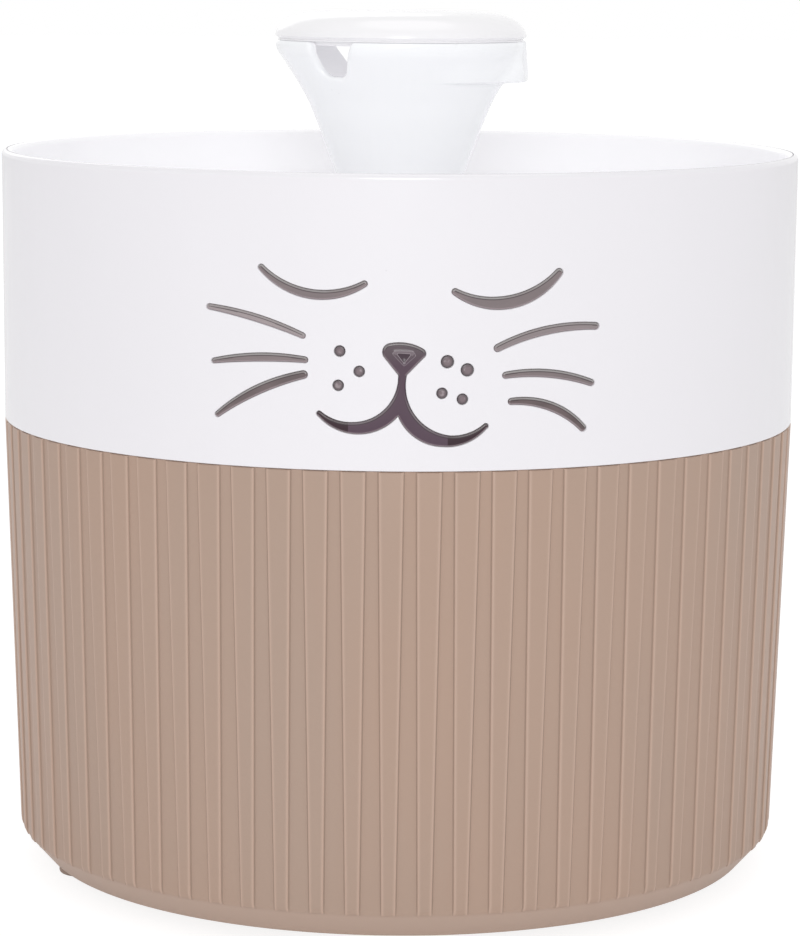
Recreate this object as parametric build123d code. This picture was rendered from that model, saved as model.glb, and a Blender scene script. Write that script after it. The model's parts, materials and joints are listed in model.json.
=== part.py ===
"""Pet water fountain: a round tank in a ribbed sleeve, a lift-out drinking tray with a filter,
a submersible pump, and a funnel spout with three outlets under a lid.

Millimetres, +Z up. The origin is on the floor under the body's axis and the face looks along -Y.
Azimuths are in degrees from the front (-Y), positive towards +X.
"""
from build123d import *
from math import hypot, sqrt
import os

# ------------------------------------------------------------------ driving dimensions
# Clearances
lift_gap = 0.3          # between pieces that lift apart or turn
seal_gap = 0.15         # glue and seal lines between fixed pieces
shaft_gap = 0.05        # radial running clearance on the pump shaft

# Body: tank wall above, ribbed sleeve below
rim_radius = 95.0
wall_draft = 0.2        # the wall is this much narrower at the sleeve line
wall_height = 63.8      # sleeve line to rim
sleeve_height = 105.7   # foot pads to sleeve line
foot_height = 3.0
wall = 2.5
rim_round = 1.1
floor_thickness = 2.5

# Ribbed sleeve
sleeve_wall = 2.2
sleeve_taper = 2.9      # narrowing of the rib roots from the sleeve line to the rib ends
bevel_width = 5.6       # smooth band below the ribs
bevel_height = 6.4
rib_count = 72
rib_depth = 0.5
rib_root = 0.6          # how far a rib is rooted in the wall
rib_top_width = 5.5
rib_foot_width = 3.2
rib_phase = -0.84
base_ring_width = 28.0  # flat ring that the tank stands on
base_ring_thickness = 2.0

# Foot pads: two far out, two further in
foot_radius = 5.5
outer_foot_reach = 79.0
inner_foot_reach = 66.0
foot_azimuth = -72.0

# Tray ledge and level mark inside the wall
ledge_drop = 14.5       # rim to ledge
ledge_width = 2.4
ledge_thickness = 1.0
mark_azimuth = 145.0
mark_rise = 3.8         # above the ledge
mark_width = 4.5
mark_height = 1.3
mark_depth = 0.5

# Face window: a smoky insert behind and in the cut-outs
window_margin = 0.8     # to the ledge above and the shoulder below
window_half_width = 48.0
window_thickness = 1.5
window_recess = 0.35    # face of the strokes behind the face of the wall

# Cable grommet in the rear wall
grommet_radius = 8.0
grommet_drop = 10.6     # grommet centre below the ledge's underside
grommet_lip = 1.8
grommet_lip_thickness = 1.2
cable_radius = 1.9
cable_drop = 1.5        # cable hole below the grommet's centre
grommet_slit = 0.6

# Drinking tray
tray_side_gap = 0.4
tray_flange = 4.7
tray_thickness = 2.0
tray_wall_gap = 0.5     # dish wall to ledge
dish_depth = 11.8       # flange top to floor at the recess
dish_fall = 1.0         # fall of the floor towards the recess
dish_draft = 3.4
dish_round = 5.0
seat_width = 5.7

# Filter
basket_radius = 51.0
basket_wall = 1.6
basket_depth = 22.0
basket_flange = 1.5
collar_wall = 1.8
slot_count = 24
slot_width = 2.2
basket_slot_inner = 16.0
basket_slot_outer = 44.0
frame_wall = 1.4
foam_thickness = 4.0
pad_thickness = 3.0
carbon_thickness = 8.0

# Filter cover
cover_thickness = 2.2
cover_slot_inner = 24.5
cover_slot_outer = 49.0
socket_height = 3.4
socket_wall = 2.2
cover_grip_radius = 7.0

# Spout: (height above its seat, outside radius), from the flange to the rim
spout_profile = [(2.2, 10.8), (8.0, 12.4), (18.2, 15.4), (28.2, 19.15), (35.4, 22.1),
                 (40.05, 24.8), (44.7, 27.8), (47.4, 29.8)]
spout_height = 49.55
spout_wall = 2.2
spout_flange_radius = 17.1
spout_flange = 2.2
nozzle_wall = 1.7
nozzle_length = 12.8

# Outlets: a nose and two notches, evenly spaced
outlet_count = 3
nose_azimuth = 85.5
outlet_depth = 8.0
outlet_foot_width = 6.0
outlet_top_width = 9.6
nose_reach = 30.1
nose_width = 15.0
nose_floor = 1.4
nose_chamfer = 1.2

# Lid
lid_radius = 30.0
lid_rise = 6.85
lid_shoulder_rise = 5.4
lid_shoulder_radius = 25.5
lid_wall = 2.0
lid_ring_wall = 1.6
lid_ring_depth = 0.9
lid_crown_bow = 0.36    # how far the crown and the edge stand off their chords
lid_edge_bow = 1.1

# Riser tube
riser_radius = 7.2
riser_wall = 1.6
riser_rise = 7.2        # above the spout's seat
riser_grip = 12.0       # length over the pump's outlet

# Pump: its shaft lies along Y and its outlet stands on the body's axis
pump_width = 38.0
pump_height = 32.0
pump_wall = 2.0
pump_corner = 3.0
volute_length = 12.0
intake_length = 13.0
motor_length = 46.0
chamber_radius = 11.0
well_radius = 6.6
well_wall = 1.2
well_depth = 25.0
outlet_bore = 3.8
outlet_height = 14.0
eye_radius = 6.8
hub_radius = 3.3
spoke_width = 1.6
spoke_count = 3

# Rotor
shaft_radius = 1.0
magnet_radius = 5.8
magnet_length = 20.0
stem_radius = 2.5
impeller_radius = 9.5
impeller_disc = 1.5
blade_height = 5.5
blade_width = 1.2
blade_count = 5
end_play = 0.5
bush_radius = 2.2
bush_length = 2.4

# Stator and back of the pump
leg_width = 5.9
core_height = 14.0
yoke_length = 6.0
coil_width = 13.0
coil_build = 3.0
gland_radius = 3.0
gland_flange = 1.3
gland_length = 9.0
gland_offset = 8.0

# Intake and suction cups
intake_wall = 1.8
intake_slot_count = 7
intake_slot_width = 2.2
intake_slot_height = 18.0
intake_slot_pitch = 3.8
slider_width = 12.0
slider_height = 22.0
slider_thickness = 1.4
slider_travel = 10.0
rail_lip = 1.2
cup_height = 4.5
cup_radius = 6.5
cup_neck = 2.3
cup_edge = 0.9
cup_inset = 6.0
cup_peg = 1.2

# Face, drawn about the nose on a window of this height. A stroke is its start, middle and end
# points and its widths there; a dot is its centre and radius.
face_drawn_height = 41.8
face_rise = 0.4         # its nose above the window's middle
face_strokes = [
    ((-29.6, 18.8), (-19.0, 13.4), (-7.4, 15.8), 1.4, 2.1, 1.4),
    ((12.0, 14.2), (24.1, 11.9), (34.4, 18.0), 1.5, 2.9, 1.8),
    ((-41.0, 9.8), (-30.5, 7.8), (-20.6, 4.4), 1.3, 1.7, 1.3),
    ((-40.0, -1.9), (-30.0, -0.6), (-20.1, -0.8), 1.2, 1.9, 1.4),
    ((-39.2, -13.5), (-30.2, -7.6), (-20.4, -4.0), 1.3, 2.1, 1.8),
    ((21.3, 2.0), (31.6, 5.5), (42.7, 6.1), 1.7, 1.9, 1.6),
    ((23.1, -3.9), (32.5, -3.8), (41.9, -6.2), 1.5, 1.8, 1.5),
    ((24.4, -9.6), (32.9, -10.9), (40.2, -16.0), 1.5, 2.0, 1.6),
]
face_dots = [(-12.6, 1.3, 1.2), (-8.4, -3.0, 1.2), (-12.9, -6.1, 1.2),
             (10.5, -0.8, 1.4), (14.8, -2.6, 1.4), (9.4, -7.6, 1.2), (13.8, -8.9, 1.2)]
# Nose, stem and mouth in one loop: each step is an arc through a point to its end, or a line
mouth_start = (0.0, -3.7)
mouth_steps = [
    ((-2.9, -11.1), (-9.8, -14.0)),
    ((-13.9, -13.4), (-16.8, -11.7)),
    ((-17.6, -12.2), (-17.2, -12.9)),
    ((-8.6, -16.6), (0.0, -12.6)),
    ((3.4, -17.0), (9.7, -19.2)),
    ((15.6, -18.1), (19.1, -15.4)),
    ((19.5, -14.7), (18.7, -14.2)),
    ((15.6, -16.1), (11.4, -16.8)),
    ((5.7, -14.5), (1.8, -3.7)),
    (None, (5.3, -0.1)),
    ((5.9, 1.0), (5.2, 2.0)),
    ((1.0, 3.3), (-2.3, 3.0)),
    ((-3.3, 2.0), (-2.9, -0.1)),
    (None, mouth_start),
]

# ------------------------------------------------------------------ levels and radii that follow
sleeve_base = foot_height
sleeve_line = foot_height + sleeve_height
rim_height = sleeve_line + wall_height
rib_end = sleeve_base + bevel_height
tank_base = sleeve_base + base_ring_thickness
tank_floor = tank_base + floor_thickness

band_radius = rim_radius - wall_draft
root_top = band_radius - rib_depth
root_foot = root_top - sleeve_taper
base_radius = root_foot - bevel_width
base_ring_inner = base_radius - base_ring_width
rim_inner = rim_radius - wall
band_inner = band_radius - wall
shoulder_foot = sleeve_line + wall / 2
shoulder_top = shoulder_foot + wall / 2
ledge = rim_height - ledge_drop
ledge_base = ledge - ledge_thickness
ledge_radius = rim_inner - ledge_width
ledge_foot = ledge_base - ledge_width
grommet_level = ledge_foot - grommet_drop
past_wall = rim_radius + wall

window_top = ledge_foot - window_margin
window_foot = shoulder_top + window_margin
window_radius = band_inner - seal_gap
face_scale = (window_top - window_foot) / face_drawn_height
face_level = (window_top + window_foot) / 2 + face_rise * face_scale

flange_foot = ledge + lift_gap
flange_top = flange_foot + tray_thickness
flange_radius = rim_inner - tray_side_gap
dish_outer = ledge_radius - tray_wall_gap
dish_inner = flange_radius - tray_flange
dish_foot = flange_top - dish_depth
cover_foot = dish_foot - cover_thickness
flange_seat = cover_foot - lift_gap - basket_flange - lift_gap
recess_radius = basket_radius + lift_gap + seat_width
basket_top = flange_seat + lift_gap + basket_flange
basket_base = basket_top - basket_depth
cover_radius = recess_radius - lift_gap

spout_seat = dish_foot + lift_gap
spout_top = spout_seat + spout_height
nozzle_bore = riser_radius + lift_gap
nozzle_radius = nozzle_bore + nozzle_wall
collar_bore = nozzle_radius + lift_gap
socket_radius = spout_flange_radius + lift_gap
spout_rim_radius = spout_profile[-1][1]
frame_outer = basket_radius - basket_wall - lift_gap
frame_inner = collar_bore + collar_wall + lift_gap
frame_base = basket_base + basket_wall
foam_top = frame_base + frame_wall + foam_thickness
carbon_top = foam_top + carbon_thickness
pad_top = carbon_top + pad_thickness
lid_seat = spout_top + lift_gap

pump_base = tank_floor + cup_height
pump_top = pump_base + pump_height
pump_axis = pump_base + pump_height / 2
volute_front = -volute_length / 2
motor_front = volute_length / 2
motor_back = motor_front + motor_length
intake_front = volute_front - intake_length
slider_left = -pump_width / 2 + pump_corner
well_end = motor_front + well_depth
outlet_top = pump_top + outlet_height
outlet_radius = riser_radius - riser_wall - seal_gap
chamber_front = volute_front + pump_wall
impeller_front = chamber_front + end_play + bush_length / 2
disc_front = impeller_front + blade_height
disc_back = disc_front + impeller_disc
magnet_front = motor_front + pump_wall
rotor_back = magnet_front + magnet_length
stator_front = motor_front + pump_wall + lift_gap
coil_back = motor_back - pump_wall - seal_gap
yoke_back = coil_back - coil_build
yoke_front = yoke_back - yoke_length


# ------------------------------------------------------------------ helpers
def between(z, low, high):
    """Radius at height z on the line between two (height, radius) points."""
    share = (z - low[0]) / (high[0] - low[0])
    return low[1] + share * (high[1] - low[1])


def upright(point):
    """A (radius, height) point as a place in the XZ plane."""
    return (point[0], 0, point[1])


def turned(outline):
    """Solid of revolution about Z from (radius, height) points."""
    edges = Polyline(*[upright(point) for point in outline], close=True)
    return revolve(make_face(edges), Axis.Z)


def bow(start, end, rise):
    """Arc between two (radius, height) points that stands off its chord, outwards and up."""
    run = end[0] - start[0]
    drop = start[1] - end[1]
    middle = ((start[0] + end[0]) / 2 + rise * drop / hypot(run, drop),
              (start[1] + end[1]) / 2 + rise * run / hypot(run, drop))
    return ThreePointArc(upright(start), upright(middle), upright(end))


def disc(radius, low, high, x=0, y=0):
    return Pos(x, y, low) * Cylinder(radius, high - low, align=(Align.CENTER, Align.CENTER, Align.MIN))


def ring(outer, inner, low, high):
    return disc(outer, low, high) - disc(inner, low - wall, high + wall)


def block(x_range, y_range, z_range):
    size = [high - low for low, high in (x_range, y_range, z_range)]
    return Pos(x_range[0], y_range[0], z_range[0]) * Box(*size, align=(Align.MIN, Align.MIN, Align.MIN))


def rod(radius, front, back, x=0, z=0):
    """Cylinder along Y."""
    bar = Cylinder(radius, back - front, align=(Align.CENTER, Align.CENTER, Align.MIN))
    return Pos(x, front, z) * Rot(-90, 0, 0) * bar


def facing(azimuth, shape):
    """Turn a shape that was made about +X to an azimuth from the front."""
    return Rot(0, 0, azimuth - 90) * shape


def spread(count, shape, start=0.0):
    return [Rot(0, 0, start + step * 360 / count) * shape for step in range(count)]


def drilled(body, tools):
    return body - Compound(children=list(tools))


# ------------------------------------------------------------------ body
def sleeve_radius(z):
    return between(z, (rib_end, root_foot), (sleeve_line, root_top))


def wall_radius(z):
    return between(z, (sleeve_line, band_radius), (rim_height, rim_radius))


def vessel_radius(z, inset):
    """Outside of the tank inside the sleeve, less an inset."""
    return sleeve_radius(z) - sleeve_wall - seal_gap - inset


def bevel_radius(z, inset):
    return between(z, (sleeve_base, base_radius), (rib_end, root_foot)) - inset


def tank():
    skin = sleeve_wall + seal_gap
    outside = [(0, tank_base), (bevel_radius(tank_base, skin), tank_base),
               (vessel_radius(rib_end, 0), rib_end), (vessel_radius(sleeve_line, 0), sleeve_line),
               (band_radius, sleeve_line), (rim_radius, rim_height)]
    inside = [(rim_inner, rim_height), (rim_inner, ledge), (ledge_radius, ledge),
              (ledge_radius, ledge_base), (wall_radius(ledge_foot) - wall, ledge_foot),
              (band_inner, shoulder_top), (vessel_radius(sleeve_line, wall), shoulder_foot),
              (vessel_radius(rib_end, wall), rib_end + floor_thickness / 2),
              (bevel_radius(tank_floor, skin + wall), tank_floor), (0, tank_floor)]
    shell = turned(outside + inside)
    rim = shell.edges().filter_by_position(Axis.Z, rim_height - seal_gap, rim_height + seal_gap)
    shell = fillet(rim, rim_round)
    shell += level_mark()
    shell -= face_cutter(0)
    return shell - rod(grommet_radius, 0, past_wall, z=grommet_level)


def level_mark():
    radius = rim_inner - mark_depth
    level = ledge + mark_rise
    bar = block((radius, rim_inner + mark_depth), (-mark_width / 2, mark_width / 2),
                (level, level + mark_height))
    return facing(mark_azimuth, bar)


def tank_sleeve():
    shell = turned([(base_ring_inner, sleeve_base), (base_radius, sleeve_base), (root_foot, rib_end),
                    (sleeve_radius(sleeve_line - lift_gap), sleeve_line - lift_gap),
                    (sleeve_radius(sleeve_line - lift_gap) - sleeve_wall, sleeve_line - lift_gap),
                    (root_foot - sleeve_wall, rib_end),
                    (bevel_radius(tank_base, sleeve_wall), tank_base), (base_ring_inner, tank_base)])
    return shell + spread(rib_count, rib(), rib_phase - 90)


def rib():
    """One raised strip, wider at the top, along the sleeve wall at +X."""
    low = rib_end
    high = sleeve_line - 2 * lift_gap
    foot = rib_section(sleeve_radius(low), rib_foot_width, low)
    top = rib_section(sleeve_radius(high), rib_top_width, high)
    return loft([foot, top], ruled=True)


def rib_section(radius, width, height):
    depth = rib_root + rib_depth
    middle = radius - rib_root + depth / 2
    return Plane.XY.offset(height) * Pos(middle, 0) * Rectangle(depth, width)


def foot_pads():
    pads = []
    for step in range(4):
        reach = inner_foot_reach if step % 2 else outer_foot_reach
        pads.append(facing(foot_azimuth + 90 * step, disc(foot_radius, 0, foot_height, x=reach)))
    return Compound(children=pads)


def cable_grommet():
    radius = grommet_radius - lift_gap
    lip_radius = grommet_radius + grommet_lip
    lip_back = sqrt(band_inner ** 2 - lip_radius ** 2) - seal_gap
    plug = rod(radius, lip_back, past_wall, z=grommet_level)
    plug &= disc(wall_radius(grommet_level), 0, rim_height)
    plug += rod(lip_radius, lip_back - grommet_lip_thickness, lip_back, z=grommet_level)
    cable_level = grommet_level - cable_drop
    plug -= rod(cable_radius, 0, past_wall, z=cable_level)
    return plug - block((-grommet_slit / 2, grommet_slit / 2), (0, past_wall),
                        (grommet_level - 2 * grommet_radius, cable_level))


# ------------------------------------------------------------------ face
def placed(point):
    """A drawn point of the face at its real size."""
    return (point[0] * face_scale, point[1] * face_scale)


def stroke(start, middle, end, start_width, middle_width, end_width, inset):
    """Tapered bow with round ends through three points."""
    chord = (end[0] - start[0], end[1] - start[1])
    points = []
    for point, width in ((start, start_width), (middle, middle_width), (end, end_width)):
        points.append((placed(point), width * face_scale / 2 - inset))
    (head, head_half), (belly, belly_half), (tail, tail_half) = points
    along = (chord[0] / hypot(*chord), chord[1] / hypot(*chord))
    across = (-along[1], along[0])

    def side(point, half, sign):
        return (point[0] + sign * half * across[0], point[1] + sign * half * across[1])

    def tip(point, half, sign):
        return (point[0] + sign * half * along[0], point[1] + sign * half * along[1])

    head_sides = [side(head, head_half, sign) for sign in (1, -1)]
    belly_sides = [side(belly, belly_half, sign) for sign in (1, -1)]
    tail_sides = [side(tail, tail_half, sign) for sign in (1, -1)]
    edges = [ThreePointArc(head_sides[0], belly_sides[0], tail_sides[0]),
             ThreePointArc(tail_sides[0], tip(tail, tail_half, 1), tail_sides[1]),
             ThreePointArc(tail_sides[1], belly_sides[1], head_sides[1]),
             ThreePointArc(head_sides[1], tip(head, head_half, -1), head_sides[0])]
    return make_face(edges)


def mouth(inset):
    """Nose, stem and mouth in one outline."""
    edges = []
    here = placed(mouth_start)
    for through, end in mouth_steps:
        there = placed(end)
        edges.append(ThreePointArc(here, placed(through), there) if through else Line(here, there))
        here = there
    outline = make_face(edges)
    return offset(outline, -inset) if inset else outline


def face_cutter(inset):
    """Every stroke of the face as a bar through the front wall, all edges drawn in by the inset."""
    shapes = [stroke(*values, inset) for values in face_strokes]
    shapes += [Pos(*placed((x, z))) * Circle(radius * face_scale - inset) for x, z, radius in face_dots]
    shapes.append(mouth(inset))
    plane = Plane.XZ.offset(rim_radius / 2) * Pos(0, face_level)
    bars = [extrude(plane * shape, rim_radius) for shape in shapes]
    return Compound(children=bars)


def face_window():
    plate = ring(window_radius, window_radius - window_thickness, window_foot, window_top)
    front = block((-window_half_width, window_half_width), (-rim_radius, 0), (0, rim_height))
    plate = plate & front
    layer = ring(band_radius - window_recess, window_radius - window_thickness / 2,
                 window_foot, window_top)
    for bar in face_cutter(seal_gap).solids():
        plate += bar & layer
    return plate


# ------------------------------------------------------------------ tray and filter
def drinking_tray():
    low = dish_foot + dish_fall
    outside = [(recess_radius - seat_width, flange_seat - tray_thickness),
               (recess_radius + tray_thickness, flange_seat - tray_thickness),
               (recess_radius + tray_thickness, dish_foot - tray_thickness),
               (dish_inner - dish_draft - dish_round, low - tray_thickness),
               (dish_outer - dish_draft, low + dish_round - tray_thickness), (dish_outer, flange_foot),
               (flange_radius, flange_foot), (flange_radius, flange_top)]
    inside = [(dish_inner, flange_top), (dish_inner - dish_draft, low + dish_round),
              (dish_inner - dish_draft - dish_round, low), (recess_radius, dish_foot),
              (recess_radius, flange_seat), (recess_radius - seat_width, flange_seat)]
    return turned(outside + inside)


def radial_slots(count, inner, outer, low, high):
    length = outer - inner
    slot = Plane.XY.offset(low) * Pos((inner + outer) / 2, 0) * SlotOverall(length, slot_width)
    return spread(count, extrude(slot, high - low))


def filter_basket():
    body = turned([(collar_bore, basket_base), (basket_radius, basket_base),
                   (basket_radius, flange_seat + lift_gap), (cover_radius, flange_seat + lift_gap),
                   (cover_radius, basket_top), (basket_radius - basket_wall, basket_top),
                   (basket_radius - basket_wall, basket_base + basket_wall),
                   (collar_bore + collar_wall, basket_base + basket_wall),
                   (collar_bore + collar_wall, basket_top), (collar_bore, basket_top)])
    return drilled(body, radial_slots(slot_count, basket_slot_inner, basket_slot_outer,
                                      basket_base - basket_wall, basket_base + 2 * basket_wall))


def filter_frame():
    rim = frame_outer - frame_wall
    hub = frame_inner + frame_wall
    body = turned([(frame_inner, frame_base), (frame_outer, frame_base), (frame_outer, pad_top),
                   (rim, pad_top), (rim, frame_base + frame_wall), (hub, frame_base + frame_wall),
                   (hub, pad_top), (frame_inner, pad_top)])
    return drilled(body, radial_slots(slot_count, basket_slot_inner, basket_slot_outer,
                                      frame_base - frame_wall, frame_base + 2 * frame_wall))


def filter_layer(low, high):
    return ring(frame_outer - frame_wall - seal_gap, frame_inner + frame_wall + seal_gap, low, high)


def filter_cover():
    plate = ring(cover_radius, collar_bore, cover_foot, dish_foot)
    plate += ring(socket_radius + socket_wall, socket_radius, dish_foot, dish_foot + socket_height)
    plate = drilled(plate, radial_slots(slot_count, cover_slot_inner, cover_slot_outer,
                                        cover_foot - cover_thickness, dish_foot + cover_thickness))
    grips = [disc(cover_grip_radius, cover_foot - cover_thickness, dish_foot + cover_thickness, x=side)
             for side in (-cover_radius - cover_grip_radius / 2, cover_radius + cover_grip_radius / 2)]
    return drilled(plate, grips)


# ------------------------------------------------------------------ spout and lid
def spout_inside():
    """Hollow of the funnel, from the nozzle's bore to above the rim."""
    bore = [(0, spout_seat - nozzle_length), (nozzle_bore, spout_seat - nozzle_length),
            (nozzle_bore, spout_seat + spout_flange)]
    flare = [(radius - spout_wall, spout_seat + height) for height, radius in spout_profile[1:]]
    top = [(spout_rim_radius - spout_wall, spout_top + spout_wall), (0, spout_top + spout_wall)]
    return turned(bore + flare + top)


def outlet_cutter(reach):
    """U-shaped channel along +X, open at the top."""
    foot = spout_top - outlet_depth
    half = outlet_foot_width / 2
    top = spout_top + spout_wall
    side = outlet_top_width / 2
    edges = [Line((-side, top), (-half, foot + half)),
             ThreePointArc((-half, foot + half), (0, foot), (half, foot + half)),
             Line((half, foot + half), (side, top)), Line((side, top), (-side, top))]
    plane = Plane(origin=(spout_rim_radius / 2, 0, 0), x_dir=(0, 1, 0), z_dir=(1, 0, 0))
    return extrude(plane * make_face(edges), reach)


def spout_nose():
    foot = spout_top - outlet_depth - nose_floor
    inner = spout_rim_radius / 2
    outline = [(inner, foot - nose_chamfer), (between_profile(foot), foot - nose_chamfer),
               (between_profile(foot) + nose_chamfer, foot), (nose_reach, foot),
               (nose_reach, spout_top), (inner, spout_top)]
    plane = Plane(origin=(0, nose_width / 2, 0), x_dir=(1, 0, 0), z_dir=(0, -1, 0))
    return extrude(plane * make_face(Polyline(*outline, close=True)), nose_width)


def between_profile(z):
    """Outside radius of the funnel at height z."""
    height = z - spout_seat
    for low, high in zip(spout_profile, spout_profile[1:]):
        if height <= high[0]:
            return between(height, low, high)
    return spout_rim_radius


def spout():
    outside = [(0, spout_seat - nozzle_length), (nozzle_radius, spout_seat - nozzle_length),
               (nozzle_radius, spout_seat), (spout_flange_radius, spout_seat),
               (spout_flange_radius, spout_seat + spout_flange)]
    flare = [(radius, spout_seat + height) for height, radius in spout_profile]
    body = turned(outside + flare + [(spout_rim_radius, spout_top), (0, spout_top)])
    body += facing(nose_azimuth, spout_nose())
    body -= spout_inside()
    for step in range(outlet_count):
        body -= facing(nose_azimuth + step * 360 / outlet_count, outlet_cutter(nose_reach))
    return body


def spout_lid():
    crown = (0, lid_seat + lid_rise)
    shoulder = (lid_shoulder_radius, lid_seat + lid_shoulder_rise)
    edge = (lid_radius, lid_seat)
    ceiling = (0, crown[1] - lid_wall)
    ring_outer = spout_rim_radius - spout_wall - lift_gap
    ring_inner = ring_outer - lid_ring_wall
    foot = spout_top - lid_ring_depth
    under = [edge, (ring_outer, lid_seat), (ring_outer, foot), (ring_inner, foot),
             (ring_inner, lid_seat + lid_wall / 2),
             (shoulder[0] - lid_wall, shoulder[1] - lid_wall), ceiling]
    edges = [Line(upright(ceiling), upright(crown)), bow(crown, shoulder, lid_crown_bow),
             bow(shoulder, edge, lid_edge_bow), Polyline(*[upright(point) for point in under])]
    return revolve(make_face(edges), Axis.Z)


# ------------------------------------------------------------------ pump
def pump_box(front, back, inset=0.0):
    """Block across the pump, with its long edges rounded."""
    width = pump_width - 2 * inset
    height = pump_height - 2 * inset
    section = RectangleRounded(width, height, pump_corner - inset)
    return Pos(0, back, pump_axis) * extrude(Plane.XZ * section, back - front)


def pump_housing():
    body = pump_box(motor_front, motor_back)
    cavity = pump_box(magnet_front, motor_back + pump_wall, pump_wall)
    cavity -= rod(well_radius + well_wall, motor_front, well_end + well_wall, z=pump_axis)
    body -= cavity
    body -= rod(well_radius, motor_front - pump_wall, well_end, z=pump_axis)
    seat = rod(bush_radius + well_wall, well_end - bush_length, well_end, z=pump_axis)
    body += seat - rod(bush_radius + shaft_gap, motor_front, well_end, z=pump_axis)
    sockets = [disc(cup_neck + seal_gap, pump_base - cup_peg, pump_base + cup_peg, x, y)
               for x, y in cup_places()]
    return drilled(body, sockets)


def volute_cover():
    body = pump_box(volute_front, motor_front)
    body += disc(outlet_radius, pump_axis, outlet_top)
    body -= rod(chamber_radius, chamber_front, motor_front + pump_wall, z=pump_axis)
    body -= disc(outlet_bore, pump_axis, outlet_top + pump_wall)
    body -= rod(eye_radius, volute_front - pump_wall, chamber_front, z=pump_axis)
    hub = rod(hub_radius, volute_front, chamber_front, z=pump_axis)
    spoke = block((0, eye_radius + spoke_width), (volute_front, chamber_front),
                  (-spoke_width / 2, spoke_width / 2))
    for step in range(spoke_count):
        hub += Pos(0, 0, pump_axis) * Rot(0, 90 + step * 360 / spoke_count, 0) * spoke
    body += hub
    return body - rod(bush_radius + shaft_gap, volute_front - pump_wall, chamber_front, z=pump_axis)


def slider_rails():
    """Frame on the intake's front face, with a stop at each end of the slider's travel."""
    inner = slider_height / 2 + lift_gap
    outer = inner + rail_lip
    slot_front = intake_front - slider_thickness - 2 * lift_gap
    start = slider_left - lift_gap
    stop = slider_left + slider_width + slider_travel + lift_gap
    across = (start - rail_lip, stop + rail_lip)
    frame = block(across, (slot_front - rail_lip, intake_front), (pump_axis - outer, pump_axis + outer))
    frame -= block((start, stop), (slot_front, intake_front), (pump_axis - inner, pump_axis + inner))
    return frame - block((start, stop), (slot_front - 2 * rail_lip, intake_front),
                         (pump_axis - inner + rail_lip, pump_axis + inner - rail_lip))


def intake_cover():
    body = pump_box(intake_front, volute_front)
    body -= pump_box(intake_front + intake_wall, volute_front + pump_wall, intake_wall)
    half = (intake_slot_count - 1) / 2
    for step in range(intake_slot_count):
        middle = (step - half) * intake_slot_pitch
        body -= block((middle - intake_slot_width / 2, middle + intake_slot_width / 2),
                      (intake_front - intake_wall, intake_front + 2 * intake_wall),
                      (pump_axis - intake_slot_height / 2, pump_axis + intake_slot_height / 2))
    return body + slider_rails()


def flow_slider():
    back = intake_front - lift_gap
    front = back - slider_thickness
    plate = block((slider_left, slider_left + slider_width), (front, back),
                  (pump_axis - slider_height / 2, pump_axis + slider_height / 2))
    middle = slider_left + slider_width / 2
    grip_half = slider_height / 2 - 2 * rail_lip
    plate += block((middle - slider_thickness / 2, middle + slider_thickness / 2),
                   (front - 2 * rail_lip, front), (pump_axis - grip_half, pump_axis + grip_half))
    return plate


def intake_foam():
    return pump_box(intake_front + intake_wall + lift_gap, volute_front - lift_gap,
                    intake_wall + lift_gap)


def impeller():
    hub = rod(stem_radius + blade_width, impeller_front, disc_back, z=pump_axis)
    hub += rod(impeller_radius, disc_front, disc_back, z=pump_axis)
    hub += rod(stem_radius - shaft_gap, disc_back, rotor_back, z=pump_axis)
    blade = block((0, impeller_radius), (impeller_front, disc_front),
                  (-blade_width / 2, blade_width / 2))
    for step in range(blade_count):
        hub += Pos(0, 0, pump_axis) * Rot(0, step * 360 / blade_count, 0) * blade
    return hub - rod(shaft_radius + shaft_gap, volute_front - pump_wall, motor_back, z=pump_axis)


def rotor_magnet():
    body = rod(magnet_radius, magnet_front, rotor_back, z=pump_axis)
    return body - rod(stem_radius, volute_front, motor_back, z=pump_axis)


def impeller_shaft():
    return rod(shaft_radius, volute_front, well_end, z=pump_axis)


def shaft_bushes():
    front = rod(bush_radius, volute_front, chamber_front + bush_length - pump_wall, z=pump_axis)
    back = rod(bush_radius, well_end - bush_length, well_end, z=pump_axis)
    bore = rod(shaft_radius + shaft_gap / 2, volute_front - pump_wall, motor_back, z=pump_axis)
    return Compound(children=[front - bore, back - bore])


def stator_core():
    inner = well_radius + well_wall + lift_gap
    outer = inner + leg_width
    level = (pump_axis - core_height / 2, pump_axis + core_height / 2)
    core = block((-outer, outer), (yoke_front, yoke_back), level)
    core += block((-outer, -inner), (stator_front, yoke_back), level)
    return core + block((inner, outer), (stator_front, yoke_back), level)


def stator_coil():
    across = (-coil_width / 2, coil_width / 2)
    reach = coil_build - seal_gap
    half = core_height / 2
    winding = block(across, (yoke_front - reach, yoke_back + reach),
                    (pump_axis - half - reach, pump_axis + half + reach))
    return winding - block((-coil_width, coil_width), (yoke_front - seal_gap, yoke_back + seal_gap),
                           (pump_axis - half - seal_gap, pump_axis + half + seal_gap))


def pump_back_plate():
    plate = pump_box(motor_back - pump_wall, motor_back, pump_wall + seal_gap)
    return plate - rod(gland_radius + seal_gap, motor_front, motor_back + pump_wall,
                       gland_offset, pump_axis + gland_offset)


def pump_gland():
    level = pump_axis + gland_offset
    body = rod(gland_radius, motor_back - pump_wall, motor_back + gland_length, gland_offset, level)
    body += rod(gland_radius + gland_flange, motor_back, motor_back + gland_flange, gland_offset, level)
    return body - rod(cable_radius, motor_front, motor_back + 2 * gland_length, gland_offset, level)


def cup_places():
    reach = pump_width / 2 - cup_inset
    return [(x, y) for x in (-reach, reach) for y in (motor_front + cup_inset, motor_back - cup_inset)]


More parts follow.
